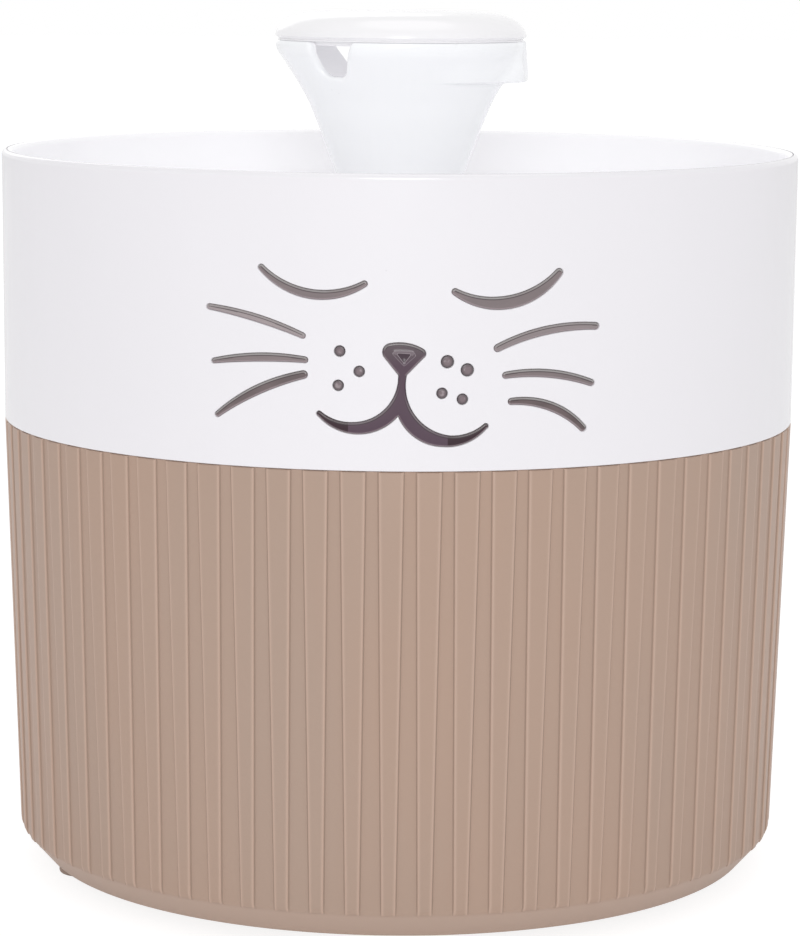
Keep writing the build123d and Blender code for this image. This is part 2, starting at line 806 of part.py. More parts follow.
def suction_cups():
    top = pump_base + cup_peg - seal_gap
    cup = turned([(0, tank_floor), (cup_radius, tank_floor), (cup_radius, tank_floor + cup_edge),
                  (cup_neck, pump_base - cup_edge), (cup_neck, top), (0, top)])
    return Compound(children=[Pos(x, y, 0) * cup for x, y in cup_places()])


def riser_tube():
    return ring(riser_radius, riser_radius - riser_wall, outlet_top - riser_grip,
                spout_seat + riser_rise)


# ------------------------------------------------------------------ write every piece
PIECES = {
    "tank": tank,
    "tank_sleeve": tank_sleeve,
    "face_window": face_window,
    "foot_pads": foot_pads,
    "cable_grommet": cable_grommet,
    "drinking_tray": drinking_tray,
    "filter_basket": filter_basket,
    "filter_frame": filter_frame,
    "filter_foam": lambda: filter_layer(frame_base + frame_wall + seal_gap, foam_top),
    "filter_carbon": lambda: filter_layer(foam_top + seal_gap, carbon_top),
    "filter_pad": lambda: filter_layer(carbon_top + seal_gap, pad_top),
    "filter_cover": filter_cover,
    "spout": spout,
    "spout_lid": spout_lid,
    "riser_tube": riser_tube,
    "pump_housing": pump_housing,
    "volute_cover": volute_cover,
    "intake_cover": intake_cover,
    "flow_slider": flow_slider,
    "intake_foam": intake_foam,
    "impeller": impeller,
    "rotor_magnet": rotor_magnet,
    "impeller_shaft": impeller_shaft,
    "shaft_bushes": shaft_bushes,
    "stator_core": stator_core,
    "stator_coil": stator_coil,
    "pump_back_plate": pump_back_plate,
    "pump_gland": pump_gland,
    "suction_cups": suction_cups,
}

os.makedirs("parts", exist_ok=True)
for name, build in PIECES.items():
    piece = build()
    piece.label = name
    export_step(piece, f"parts/{name}.step")
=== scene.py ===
"""Pet water fountain: a white tank in a ribbed taupe sleeve, a smoky face window, a drinking
tray with its filter, a pump, and a funnel spout with three outlets under a round lid.

Lengths in the geometry are millimetres and become metres as a mesh is made. Azimuths are in
degrees from the front (-Y), positive towards +X.
"""

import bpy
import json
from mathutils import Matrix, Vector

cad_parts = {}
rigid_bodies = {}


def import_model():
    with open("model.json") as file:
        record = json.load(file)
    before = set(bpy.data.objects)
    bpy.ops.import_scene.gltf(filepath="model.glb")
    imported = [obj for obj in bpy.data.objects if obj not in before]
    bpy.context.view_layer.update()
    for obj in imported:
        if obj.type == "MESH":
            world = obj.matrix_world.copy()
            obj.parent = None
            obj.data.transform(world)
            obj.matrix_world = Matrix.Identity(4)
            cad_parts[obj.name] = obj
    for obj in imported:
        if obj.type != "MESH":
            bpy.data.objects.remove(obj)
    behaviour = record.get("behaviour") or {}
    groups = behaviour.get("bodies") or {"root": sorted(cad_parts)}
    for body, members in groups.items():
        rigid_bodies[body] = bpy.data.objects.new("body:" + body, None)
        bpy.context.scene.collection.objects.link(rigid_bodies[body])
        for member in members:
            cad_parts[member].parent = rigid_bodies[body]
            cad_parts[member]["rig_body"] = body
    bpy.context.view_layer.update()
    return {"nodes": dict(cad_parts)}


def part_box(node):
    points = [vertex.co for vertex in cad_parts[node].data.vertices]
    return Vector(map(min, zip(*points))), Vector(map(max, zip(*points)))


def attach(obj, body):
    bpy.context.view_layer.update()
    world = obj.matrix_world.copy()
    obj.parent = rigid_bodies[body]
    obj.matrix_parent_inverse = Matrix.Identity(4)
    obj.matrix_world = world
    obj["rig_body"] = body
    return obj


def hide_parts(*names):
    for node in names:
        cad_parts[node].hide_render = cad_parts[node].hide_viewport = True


bl_info = {
    "name": "Pet Water Fountain",
    "version": (1, 0, 0),
    "blender": (4, 5, 0),
    "location": "3D Viewport > Sidebar > Fountain",
    "description": "Makes the shell, face, tray, spout and finishes of a pet water fountain",
    "category": "Add Mesh",
}

import json
from functools import cache
from math import asin, atan2, ceil, cos, hypot, pi, radians, sin, tan

import bmesh
import bpy
import numpy as np
from bpy.props import FloatProperty, FloatVectorProperty, IntProperty, PointerProperty
from bpy.types import Operator, Panel, PropertyGroup
from mathutils import Matrix, Vector
from mathutils.geometry import delaunay_2d_cdt

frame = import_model()
MM = 0.001


def span(node, axis):
    """Lowest and highest coordinate of a node along an axis, in millimetres."""
    low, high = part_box(node)
    return low[axis] / MM, high[axis] / MM


# ------------------------------------------------------------------ levels that the frame gives
TANK_BASE, RIM_HEIGHT = span("tank", 2)
RIM_RADIUS = span("tank", 0)[1]
SLEEVE_BASE, SLEEVE_TOP = span("tank_sleeve", 2)
WINDOW_FOOT, WINDOW_TOP = span("face_window", 2)
FOOT_TOP = span("foot_pads", 2)[1]
TRAY_RADIUS = span("drinking_tray", 0)[1]
TRAY_BASE, TRAY_TOP = span("drinking_tray", 2)
GROMMET_LEVEL = sum(span("cable_grommet", 2)) / 2
COVER_TOP = span("filter_cover", 2)[1]
SPOUT_BASE, SPOUT_TOP = span("spout", 2)
LID_BASE, LID_TOP = span("spout_lid", 2)
LID_RADIUS = span("spout_lid", 0)[1]

# The white wall starts at the sleeve line, a hair above the seam where the shown sleeve ends
LINE_GAP = 0.3
SLEEVE_LINE = SLEEVE_TOP + LINE_GAP
SEAM = SLEEVE_LINE - 0.1
WALL = 2.5
WALL_DRAFT = 0.2
TANK_INSET = 2.35
TANK_FLOOR = 7.5
# The ledge that the tray stands on: its top, width, edge and the foot of its slope
LEDGE = 158.0
LEDGE_WIDTH = 2.4
LEDGE_EDGE = LEDGE - 1
LEDGE_FOOT = LEDGE - 3.4
# The sleeve's radius between the ribs, at the sleeve line and where the ribs end over the bevel
ROOT_TOP = 94.3
ROOT_FOOT = 91.4
RIB_END = 9.4
BASE_RADIUS = 85.8
SPOUT_SEAT = COVER_TOP - 3.1


# ------------------------------------------------------------------ plane figures
def lerp(a, b, share):
    return a + (b - a) * share


def arc_points(start, middle, end, step):
    """Points from start to end on the circle through three points, end left out."""
    (ax, ay), (bx, by), (cx, cy) = start, middle, end
    d = 2 * (ax * (by - cy) + bx * (cy - ay) + cx * (ay - by))
    a2, b2, c2 = ax * ax + ay * ay, bx * bx + by * by, cx * cx + cy * cy
    x = (a2 * (by - cy) + b2 * (cy - ay) + c2 * (ay - by)) / d
    y = (a2 * (cx - bx) + b2 * (ax - cx) + c2 * (bx - ax)) / d
    radius = hypot(ax - x, ay - y)
    first = atan2(ay - y, ax - x)
    via = (atan2(by - y, bx - x) - first) % (2 * pi)
    sweep = (atan2(cy - y, cx - x) - first) % (2 * pi)
    if via > sweep:
        sweep -= 2 * pi
    count = max(2, ceil(abs(sweep) * radius / step))
    return [(x + radius * cos(first + sweep * i / count), y + radius * sin(first + sweep * i / count))
            for i in range(count)]


def line_points(start, end, step):
    count = max(1, ceil(hypot(end[0] - start[0], end[1] - start[1]) / step))
    return [(lerp(start[0], end[0], i / count), lerp(start[1], end[1], i / count)) for i in range(count)]


def circle_points(x, y, radius, count):
    angles = [2 * pi * i / count for i in range(count)]
    return [(x + radius * cos(angle), y + radius * sin(angle)) for angle in angles]


def rounded(corners, steps=5, hold=0.25):
    """Closed (radius, height) outline from (radius, height, rounding) corners.

    A straight run keeps a point close to each rounded end, so that its shading stays flat."""
    outline = []
    for i, (x, y, rounding) in enumerate(corners):
        before = Vector(corners[i - 1][:2])
        after = Vector(corners[(i + 1) % len(corners)][:2])
        here = Vector((x, y))
        if rounding <= 0:
            outline.append((x, y))
            continue
        back, on = (before - here).normalized(), (after - here).normalized()
        half = back.angle(on) / 2
        reach = rounding / tan(half)
        centre = here + (back + on).normalized() * rounding / sin(half)
        start, end = here + back * reach, here + on * reach
        outline.append(tuple(start + back * min(hold, ((before - here).length - reach) / 3)))
        first = start - centre
        turn = first.angle_signed(end - centre)
        for step in range(steps + 1):
            spoke = first.copy()
            spoke.rotate(Matrix.Rotation(-turn * step / steps, 2))
            outline.append(tuple(centre + spoke))
        outline.append(tuple(end + on * min(hold, ((after - here).length - reach) / 3)))
    return outline


def beyond(points, loop):
    """How far each point lies outside the loop's bounding box."""
    low, high = np.min(loop, axis=0), np.max(loop, axis=0)
    return np.linalg.norm(np.maximum(np.maximum(low - points, points - high), 0), axis=1)


def inside(points, loop):
    """Which of the points lie inside a closed loop."""
    result = beyond(points, loop) == 0
    x, y = points[result, 0][:, None], points[result, 1][:, None]
    a = np.asarray(loop)
    b = np.roll(a, -1, axis=0)
    rise = (a[:, 1] > y) != (b[:, 1] > y)
    with np.errstate(divide="ignore", invalid="ignore"):
        cross = (b[:, 0] - a[:, 0]) * (y - a[:, 1]) / (b[:, 1] - a[:, 1]) + a[:, 0]
    result[result] = np.sum(rise & (x < cross), axis=1) % 2 == 1
    return result


def distance(points, loops):
    """Distance of each point to the nearest edge of the closed loops, in as many dimensions."""
    best = np.full(len(points), 1e9)
    for loop in loops:
        a = np.asarray(loop, float)
        run = np.roll(a, -1, axis=0) - a
        length = np.maximum((run ** 2).sum(1), 1e-12)
        closer = np.flatnonzero(beyond(points, a) < best)
        for low in range(0, len(closer), 2000):
            part = closer[low:low + 2000]
            offset = points[part][:, None, :] - a[None, :, :]
            share = np.clip((offset * run).sum(2) / length, 0, 1)
            near = ((offset - share[:, :, None] * run) ** 2).sum(2).min(1)
            best[part] = np.minimum(best[part], np.sqrt(near))
    return best


def ramp(value, low, high):
    """0 up to low, 1 from high on, even between."""
    return np.clip((value - low) / (high - low), 0, 1)


def divided(loop, step):
    """A closed loop with more points on its long runs."""
    return [point for a, b in zip(loop, loop[1:] + loop[:1]) for point in line_points(a, b, step)]


def beside(loop, reach):
    """The loop's points moved sideways, to its left for a positive reach."""
    a = np.asarray(loop, float)
    along = np.roll(a, -1, axis=0) - np.roll(a, 1, axis=0)
    along /= np.maximum(np.hypot(along[:, 0], along[:, 1]), 1e-9)[:, None]
    return a + reach * np.column_stack((-along[:, 1], along[:, 0]))


# ------------------------------------------------------------------ meshes
def as_mesh(name, points, faces):
    """Mesh from millimetre points, with doubles merged and faces outwards."""
    mesh = bpy.data.meshes.new(name)
    mesh.from_pydata([(x * MM, y * MM, z * MM) for x, y, z in points], [], faces)
    bm = bmesh.new()
    bm.from_mesh(mesh)
    bmesh.ops.remove_doubles(bm, verts=bm.verts, dist=2e-3 * MM)
    bmesh.ops.dissolve_degenerate(bm, edges=bm.edges, dist=1e-4 * MM)
    bmesh.ops.recalc_face_normals(bm, faces=bm.faces)
    bm.to_mesh(mesh)
    bm.free()
    return mesh


def in_millimetres(mesh):
    points = np.empty(3 * len(mesh.vertices), np.float32)
    mesh.vertices.foreach_get("co", points)
    return points.reshape(-1, 3) / MM


def keep_numbers(mesh, numbers):
    """Keeps named numbers for the points of a mesh, which its material reads."""
    for name, values in numbers.items():
        kept = mesh.attributes.new(name, "FLOAT", "POINT")
        kept.data.foreach_set("value", np.asarray(values, np.float32))


def smoothed(mesh, sharp=40):
    mesh.shade_smooth()
    mesh.set_sharp_from_angle(angle=radians(sharp))
    return mesh


ON_AXIS = 1e-6


def revolve(outline, columns, skip=lambda row, column: False):
    """Points and faces of a closed (radius, height) outline turned about Z.

    skip leaves out the face after a row of the outline and after a column."""
    points, starts = [], []
    count = len(columns)
    for radius, height in outline:
        starts.append(len(points))
        if radius < ON_AXIS:
            points.append((0, 0, height))
        else:
            points += [(radius * sin(radians(a)), -radius * cos(radians(a)), height) for a in columns]
    faces = []
    for row, start in enumerate(starts):
        following = (row + 1) % len(outline)
        low_pole, high_pole = outline[row][0] < ON_AXIS, outline[following][0] < ON_AXIS
        if low_pole and high_pole:
            continue
        for column in range(count):
            if skip(row, column):
                continue
            nxt = (column + 1) % count
            low = [start] if low_pole else [start + column, start + nxt]
            end = starts[following]
            high = [end] if high_pole else [end + nxt, end + column]
            faces.append(low + high)
    return points, faces


def joined(*parts):
    """Points and faces of several shells in one list."""
    points, faces = [], []
    for some_points, some_faces in parts:
        start = len(points)
        points += some_points
        faces += [[i + start for i in face] for face in some_faces]
    return points, faces


def open_edges(faces):
    """Edges that only one of the triangles has."""
    edges = {(f[i], f[(i + 1) % 3]) for f in faces for i in range(3)}
    return [(a, b) for a, b in edges if (b, a) not in edges]


def round_edge(gap, radius):
    """How deep a rounded edge of that radius lies at a distance from the edge."""
    reach = np.clip(gap / radius, 0, 1)
    return radius * (1 - np.sqrt(1 - (1 - reach) ** 2))


def around(points, radius, circle):
    """Sheet points (arc length on a circle, height) rolled up about Z at a radius."""
    angle = points[:, 0] / circle
    return np.column_stack((radius * np.sin(angle), -radius * np.cos(angle), points[:, 1]))


class Sheet:
    """Triangles over a rectangle of a surface, with the edges of closed loops in them.

    Each loop is an outline to cut along, with rows of points beside it at the edge steps. Marks
    are loops that are only followed."""

    CLEAR_OF_LOOPS = 0.45
    STEP_KEPT = 0.92
    CLEAR_OF_MARKS = 0.1

    def __init__(self, columns, rows, loops, edge_steps, cell, marks=()):
        self.loops = loops
        self.foot = rows[0]
        grid = np.array([(a, b) for a in columns for b in rows])
        border = ((grid[:, 0] == columns[0]) | (grid[:, 0] == columns[-1])
                  | (grid[:, 1] == rows[0]) | (grid[:, 1] == rows[-1]))
        grid = grid[border | (distance(grid, [*loops, *marks]) > self.CLEAR_OF_LOOPS * cell)]
        near = [grid]
        for reach in edge_steps:
            for loop in loops:
                ring = beside(loop, reach)
                keep = distance(ring, loops) > self.STEP_KEPT * abs(reach)
                keep &= distance(ring, marks) > self.CLEAR_OF_MARKS
                keep &= (ring[:, 0] > columns[0]) & (ring[:, 0] < columns[-1])
                keep &= (ring[:, 1] > rows[0]) & (ring[:, 1] < rows[-1])
                near.append(ring[keep])
        points = [Vector(p) for p in np.vstack(near)]
        edges = []
        for loop in [*loops, *marks]:
            start = len(points)
            points += [Vector(p) for p in loop]
            edges += [(start + i, start + (i + 1) % len(loop)) for i in range(len(loop))]
        verts, _, faces, *_ = delaunay_2d_cdt(points, edges, [], 0, 1e-4)
        self.points = np.array([tuple(v) for v in verts])
        self.faces = np.array(faces)
        middle = self.points[self.faces].mean(axis=1)
        self.cut = np.zeros(len(middle), bool)
        for loop in loops:
            self.cut |= inside(middle, loop)
        self.on_edge = distance(self.points, loops) < 1e-3

    def shell(self, outer, inner, round_out, round_in, foot=False):
        """Shell between two surfaces, each a function of the sheet's points, on the faces outside
        the loops. Its edges along the loops are rounded, and its lowest edge may be closed."""
        kept = self.faces[~self.cut]
        top, low = outer(self.points), inner(self.points)
        thick = np.linalg.norm(low - top, axis=1)[:, None]
        middle = (top + low) / 2
        walls = [(outer(loop) + inner(loop)) / 2 for loop in map(np.asarray, self.loops)]
        gap = distance(middle, walls)[:, None]
        gap[self.on_edge] = 0
        into = (low - top) / thick
        top = top + into * round_edge(gap, round_out)
        low = low - into * round_edge(gap, round_in)
        count = len(self.points)
        faces = [list(f) for f in kept] + [[i + count for i in f[::-1]] for f in kept]
        walled = self.on_edge | (foot & (self.points[:, 1] <= self.foot + 1e-6))
        faces += [[b, a, a + count, b + count] for a, b in open_edges(kept) if walled[a] and walled[b]]
        return [tuple(p) for p in np.vstack((top, low))], faces


# ------------------------------------------------------------------ node trees
class Socket:
    """An output socket that takes part in arithmetic."""

    def __init__(self, nodes, socket):
        self.nodes = nodes
        self.socket = socket

    def __add__(self, other):
        return self.nodes.math("ADD", self, other)

    __radd__ = __add__

    def __sub__(self, other):
        return self.nodes.math("SUBTRACT", self, other)

    def __rsub__(self, other):
        return self.nodes.math("SUBTRACT", other, self)

    def __mul__(self, other):
        return self.nodes.math("MULTIPLY", self, other)

    __rmul__ = __mul__

    def __truediv__(self, other):
        return self.nodes.math("DIVIDE", self, other)

    def __gt__(self, other):
        return self.nodes.math("GREATER_THAN", self, other)

    def __lt__(self, other):
        return self.nodes.math("LESS_THAN", self, other)

    def __abs__(self):
        return self.nodes.math("ABSOLUTE", self)

    def smooth(self, low, high):
        """0 below low, 1 above high, smooth between."""
        return self.nodes.add("ShaderNodeMapRange", {"interpolation_type": "SMOOTHSTEP"},
                              {"Value": self, "From Min": low, "From Max": high})

    def fade(self, low, high):
        """1 below low, 0 above high, smooth between."""
        return 1 - self.smooth(low, high)


class Nodes:
    """A node tree that grows by values, sockets and settings."""

    def __init__(self, tree):
        self.tree = tree

    def place(self, kind, settings=None, values=None):
        node = self.tree.nodes.new(kind)
        for key, value in (settings or {}).items():
            setattr(node, key, value)
        for key, value in (values or {}).items():
            self.feed(node.inputs[key], value)
        return node

    def add(self, kind, settings=None, values=None, out=0):
        return Socket(self, self.place(kind, settings, values).outputs[out])

    def math(self, operation, *values):
        return self.add("ShaderNodeMath", {"operation": operation}, dict(enumerate(values)))

    def feed(self, socket, value):
        if isinstance(value, Socket):
            self.tree.links.new(value.socket, socket)
        elif isinstance(value, tuple) and len(value) == 3 and socket.type == "RGBA":
            socket.default_value = (*value, 1)
        else:
            socket.default_value = value


class Finish(Nodes):
    """A material around one Principled shader. Patterns sit in object coordinates."""

    made = {}

    def __init__(self, name, **constants):
        self.material = bpy.data.materials.new(name)
        self.material.use_nodes = True
        super().__init__(self.material.node_tree)
        self.shader = self.tree.nodes["Principled BSDF"]
        self.where = self.add("ShaderNodeTexCoord", out="Object")
        self.surface({key.replace("_", " "): value for key, value in constants.items()})
        Finish.made[name] = self.material

    def surface(self, values):
        for key, value in values.items():
            self.feed(self.shader.inputs[key], value)

    def coat(self, colour, roughness, height, reach, strength):
        """Colour and roughness of the surface, and a skin that a pattern raises by the reach in
        millimetres."""
        normal = {"Height": height, "Distance": reach * MM, "Strength": strength}
        self.surface({"Base Color": colour, "Roughness": roughness,
                      "Normal": self.add("ShaderNodeBump", None, normal)})

    def noise(self, scale, detail, roughness=0.5, where=None):
        return self.add("ShaderNodeTexNoise", None, {"Vector": where or self.where, "Scale": scale,
                                                     "Detail": detail, "Roughness": roughness})

    def cells(self, scale):
        return self.add("ShaderNodeTexVoronoi", None, {"Vector": self.where, "Scale": scale})

    def stretched(self, x, y, z):
        return self.add("ShaderNodeMapping", None, {"Vector": self.where, "Scale": (x, y, z)})

    def attribute(self, name):
        """A number that the mesh keeps for each of its points."""
        return self.add("ShaderNodeAttribute", {"attribute_name": name}, out="Fac")

    def axis(self, name):
        """The point's X, Y or Z in metres."""
        return self.add("ShaderNodeSeparateXYZ", None, {"Vector": self.where}, out=name)

    def blend(self, factor, first, second):
        mix = self.place("ShaderNodeMix", {"data_type": "RGBA"})
        for socket, value in zip((mix.inputs[0], mix.inputs[6], mix.inputs[7]), (factor, first, second)):
            self.feed(socket, value)
        return Socket(self, mix.outputs[2])


def linear(*srgb):
    """Linear colour from one written in 0 to 255."""
    return tuple(c / 255 / 12.92 if c <= 10 else ((c / 255 + 0.055) / 1.055) ** 2.4 for c in srgb)


def tinted(colour, *factors):
    """A colour times one factor, or times one for each of its channels."""
    if len(factors) == 1:
        factors *= 3
    return tuple(min(1.0, c * f) for c, f in zip(colour, factors))


def moulded_white(name, colour, roughness, glow=0.0, inner_glow=0.0):
    """Glossy white plastic: faint flow in its colour, a barely uneven skin and fine specks.

    The glows are emission, painted light standing in for the light that comes through its walls. A mesh may
    mark its inside, which is painted a paler white."""
    skin = Finish(name, Specular_IOR_Level=0.5, IOR=1.49, Coat_Weight=0.25, Coat_Roughness=0.05,
                  Emission_Strength=1.0)
    skin.material.cycles.emission_sampling = "NONE"
    within = skin.attribute("within")
    # Painted light: the inside, where the mesh marks it, is painted a paler white.
    base = skin.blend(within, colour, linear(252, 251, 253))
    flow = skin.noise(14, 3, where=skin.stretched(1, 1, 0.35))
    base = skin.blend(flow.smooth(0.35, 0.65), base, skin.blend(0.985, (0, 0, 0), base))
    specks = skin.cells(230) < 0.045
    patch = skin.noise(31, 1) > 0.62
    base = skin.blend(specks * patch * 0.25, base, tinted(colour, 0.72))
    # Painted light: emission standing in for the light that comes through the walls, stronger on the inside.
    skin.surface({"Emission Color": skin.blend(within, tinted(colour, glow), tinted(colour, inner_glow))})
    skin.coat(base, roughness + 0.06 * skin.noise(45, 3),
              skin.noise(170, 2) + 0.25 * skin.noise(1400, 2), 0.02, 0.5)


def satin_taupe(name, colour):
    """Satin plastic with a fine matt grain, a soft change of tone from place to place, a painted highlight
    along the ribs' edges, painted shade in the corners at the foot of each rib and a painted paler, greyer
    sheen on the bevel."""
    skin = Finish(name, Specular_IOR_Level=0.16, IOR=1.48)
    warm, cool = tinted(colour, 1.02, 0.99, 0.97), tinted(colour, 0.975, 0.985, 0.99)
    tone = skin.noise(26, 3, where=skin.stretched(1, 1, 0.3))
    edge = skin.attribute("edge")
    bevel = skin.axis("Z").fade((RIB_END - 1.2) * MM, (RIB_END + 0.4) * MM)
    base = skin.blend(tone.smooth(0.3, 0.7), cool, warm)
    # Painted light: a painted highlight on the ribs' edges and painted shade in the corners at their foot,
    # from the edge number.
    base = skin.blend(edge.smooth(0.0, 1.0) * 0.9, base, tinted(colour, 1.2))
    base = skin.blend((-1 * edge).smooth(0.0, 1.0) * 0.9, base, tinted(colour, 0.78))
    # Painted sheen: the bevel is painted paler and greyer.
    base = skin.blend(bevel, base, tinted(colour, 1.13, 1.17, 1.2))
    skin.coat(base, 0.33 + 0.1 * skin.noise(300, 2),
              skin.noise(2600, 3, 0.6) + 0.8 * skin.noise(700, 2), 0.02, 0.5)


def smoky_clear(name, colour, dark):
    """Smoky see-through plastic with its light and shade painted on. A stroke has a grey upper rim of painted
    reflection over a painted shadow line, a paler lower rim of painted reflection and a body streaked with
    painted highlights. The mouth is darker, with painted shade at its ends, and the nose has a facet of
    painted shade with painted highlights along its edges."""
    skin = Finish(name, Specular_IOR_Level=0.4, IOR=1.5, Coat_Weight=0.1, Coat_Roughness=0.05)
    rim, above, part, pale, facet, bezel = (
        skin.attribute(number) for number in ("rim", "above", "part", "pale", "facet", "bezel"))
    mouth = part > 1.5
    dot = (part > 0.5) - mouth
    nose = mouth * skin.axis("Z").smooth((FACE_LEVEL - 2.2) * MM, (FACE_LEVEL + 1.4) * MM)
    ends = abs(skin.axis("X")) > MOUTH_SHADE * MM
    streak_highlight = skin.noise(95, 3, 0.6, where=skin.stretched(0.35, 1, 2.6)).smooth(0.35, 0.72)
    glint = skin.noise(60, 2, 0.6).smooth(0.42, 0.62)
    upper, lower = above.smooth(0.0, 0.6), (-1 * above).smooth(0.0, 0.7)

    def band(low, high, soft=0.06):
        """1 between two depths from the stroke's edge."""
        return rim.smooth(low - soft, low + soft) * rim.fade(high - soft, high + soft)

    # The bodies of the strokes, streaked with painted highlights, and of the mouth
    base = skin.blend(streak_highlight, tinted(colour, 0.85), tinted(colour, 1.35))
    deep = skin.blend(0.4, base, tinted(colour, 0.45))
    light = skin.blend(0.55, base, linear(196, 186, 188))
    base = skin.blend(pale, deep, light)
    base = skin.blend(mouth, base, dark)
    # Painted shade: the mouth's ends, past MOUTH_SHADE from the middle, are darker still.
    base = skin.blend(mouth * ends, base, tinted(dark, 0.36, 0.2, 0.24))
    base = skin.blend(nose * 0.6, base, linear(97, 86, 90))

    # The rims: painted reflection on the upper and lower rims, flecked by painted glints, a painted shadow
    # line under the upper one and painted shade on the upper edge itself
    lower_rim_reflection = rim.fade(0.1, 0.5) * lower * (1 - 0.3 * mouth)
    upper_rim_reflection = band(0.1, 0.48) * upper * (1 - 0.6 * mouth + 0.5 * nose) * (0.5 + 0.5 * glint)
    edge = rim.fade(0.06, 0.16) * upper * (0.7 - 0.6 * nose)
    base = skin.blend(lower_rim_reflection, base, linear(170, 156, 160))
    base = skin.blend(upper_rim_reflection, base, linear(160, 156, 155))
    # Painted shadow: a dark line under the upper rim.
    base = skin.blend(band(0.5, 0.68) * upper * 0.8, base, linear(60, 50, 54))
    # Painted shade: a grey line on the upper edge itself.
    base = skin.blend(edge, base, linear(104, 98, 97))

    # The dots: painted shade in a dark ring round each dot's edge, and a paler middle with painted glints
    dot_glint = skin.noise(900, 2).smooth(0.5, 0.62) * rim.smooth(0.3, 0.7)
    spot = skin.blend(dot_glint, linear(132, 117, 122), linear(168, 156, 160))
    base = skin.blend(dot * 0.9, base, skin.blend(rim.smooth(0.2, 0.85), linear(97, 87, 91), spot))

    # The facet in the nose, the shelf about it and their edges: painted shade in the sunk facet, painted
    # light on the shelf's upper side and painted highlights along the edges
    shelf = bezel.fade(-0.1, 0.0) * facet.smooth(0.0, 0.1) * above.smooth(-0.4, 0.6)
    facet_line = facet.smooth(-0.1, 0.0) * facet.fade(0.0, 0.12)
    bezel_line = bezel.smooth(-0.1, 0.0) * bezel.fade(0.0, 0.1)
    lines = 0.85 * facet_line + 0.5 * bezel_line
    base = skin.blend(mouth * shelf, base, linear(122, 109, 116))
    base = skin.blend(mouth * facet.fade(-0.1, 0.0), base, linear(66, 49, 60))
    base = skin.blend(mouth * lines, base, linear(172, 161, 167))
    skin.coat(base, 0.16 + 0.08 * skin.noise(60, 2), skin.noise(240, 2), 0.03, 0.5)


def rubber(name, colour, roughness=0.6):
    skin = Finish(name, Specular_IOR_Level=0.35, Sheen_Weight=0.05)
    base = skin.blend(skin.noise(120, 3), tinted(colour, 0.88), tinted(colour, 1.1))
    skin.coat(base, roughness + 0.12 * skin.noise(400, 2), skin.noise(1800, 2), 0.03, 0.6)


def moulded(name, colour, roughness, grain):
    """Plain moulded plastic with an eroded texture, its grain as deep as stated."""
    skin = Finish(name, Specular_IOR_Level=0.45)
    base = skin.blend(skin.noise(60, 3), tinted(colour, 0.9), tinted(colour, 1.12))
    skin.coat(base, roughness + 0.1 * skin.noise(500, 2), skin.noise(1500, 3, 0.6), grain, 0.7)


def sponge(name, colour):
    """Open-cell foam."""
    skin = Finish(name, Specular_IOR_Level=0.2)
    pore = skin.cells(1100).smooth(0.25, 0.6)
    base = skin.blend(pore, tinted(colour, 0.35), tinted(colour, 1.4))
    skin.coat(base, 0.9, pore, 0.3, 1.0)


def granules(name, colour):
    """Carbon grains pressed against their bag."""
    skin = Finish(name, Specular_IOR_Level=0.5)
    grain = skin.cells(620)
    base = skin.blend(grain.smooth(0.1, 0.7), tinted(colour, 2.2), tinted(colour, 0.4))
    skin.coat(base, 0.45 + 0.3 * grain, 1 - grain, 0.5, 1.0)


def fleece(name, colour):
    """Non-woven filter wool: fine crossed fibres."""
    skin = Finish(name, Specular_IOR_Level=0.15, Sheen_Weight=0.3)
    along = skin.noise(900, 4, 0.7, where=skin.stretched(1, 0.12, 1))
    across = skin.noise(900, 4, 0.7, where=skin.stretched(0.12, 1, 1))
    fibre = (along + across) * 0.5
    skin.coat(skin.blend(fibre.smooth(0.35, 0.65), tinted(colour, 0.8), colour), 0.95, fibre, 0.4, 1.0)


def banded(name, colour, scale, roughness):
    """Metal in fine level lines: laminations or windings."""
    skin = Finish(name, Metallic=0.9)
    line = skin.add("ShaderNodeTexWave", {"bands_direction": "Z"},
                    {"Vector": skin.where, "Scale": scale, "Distortion": 0.4, "Detail": 1.0})
    base = skin.blend(line.smooth(0.1, 0.6), tinted(colour, 0.45), colour)
    skin.coat(base, roughness + 0.15 * skin.noise(800, 2), line, 0.12, 0.9)


def milky(name, colour):
    """Milky silicone."""
    skin = Finish(name, Specular_IOR_Level=0.5, Transmission_Weight=0.35, IOR=1.42)
    base = skin.blend(skin.noise(80, 3), tinted(colour, 0.93), colour)
    skin.coat(base, 0.28 + 0.1 * skin.noise(250, 2), skin.noise(900, 2), 0.02, 0.5)


# ------------------------------------------------------------------ pieces
def scene_object(name, mesh):
    made = bpy.data.objects.new(name, mesh)
    bpy.context.scene.collection.objects.link(made)
    return made


def piece(name, mesh, material, body, replaces=()):
    """A finished piece on its body, in place of the CAD nodes it stands for."""
    made = scene_object(name, mesh)
    mesh.materials.clear()
    mesh.materials.append(Finish.made[material])
    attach(made, body)
    if replaces:
        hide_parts(*replaces)


def dressed(node, material):
    """A smooth-shaded copy of a CAD node with its finish, on the node's own body."""
    source = frame["nodes"][node]
    mesh = source.data.copy()
    mesh.name = f"{node}_skin"
    bm = bmesh.new()
    bm.from_mesh(mesh)
    bmesh.ops.remove_doubles(bm, verts=bm.verts, dist=1e-3 * MM)
    bm.to_mesh(mesh)
    bm.free()
    if mesh.has_custom_normals:
        mesh.attributes.remove(mesh.attributes["custom_normal"])
    smoothed(mesh, 35)
    piece(f"{node}_skin", mesh, material, source["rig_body"], [node])


def settings():
    return bpy.context.scene.fountain


def even(low, high, step):
    count = max(1, round((high - low) / step))
    return [lerp(low, high, i / count) for i in range(count + 1)]


# ------------------------------------------------------------------ body
def sleeve_radius(z):
    return lerp(ROOT_FOOT, ROOT_TOP, (z - RIB_END) / (SLEEVE_LINE - RIB_END))


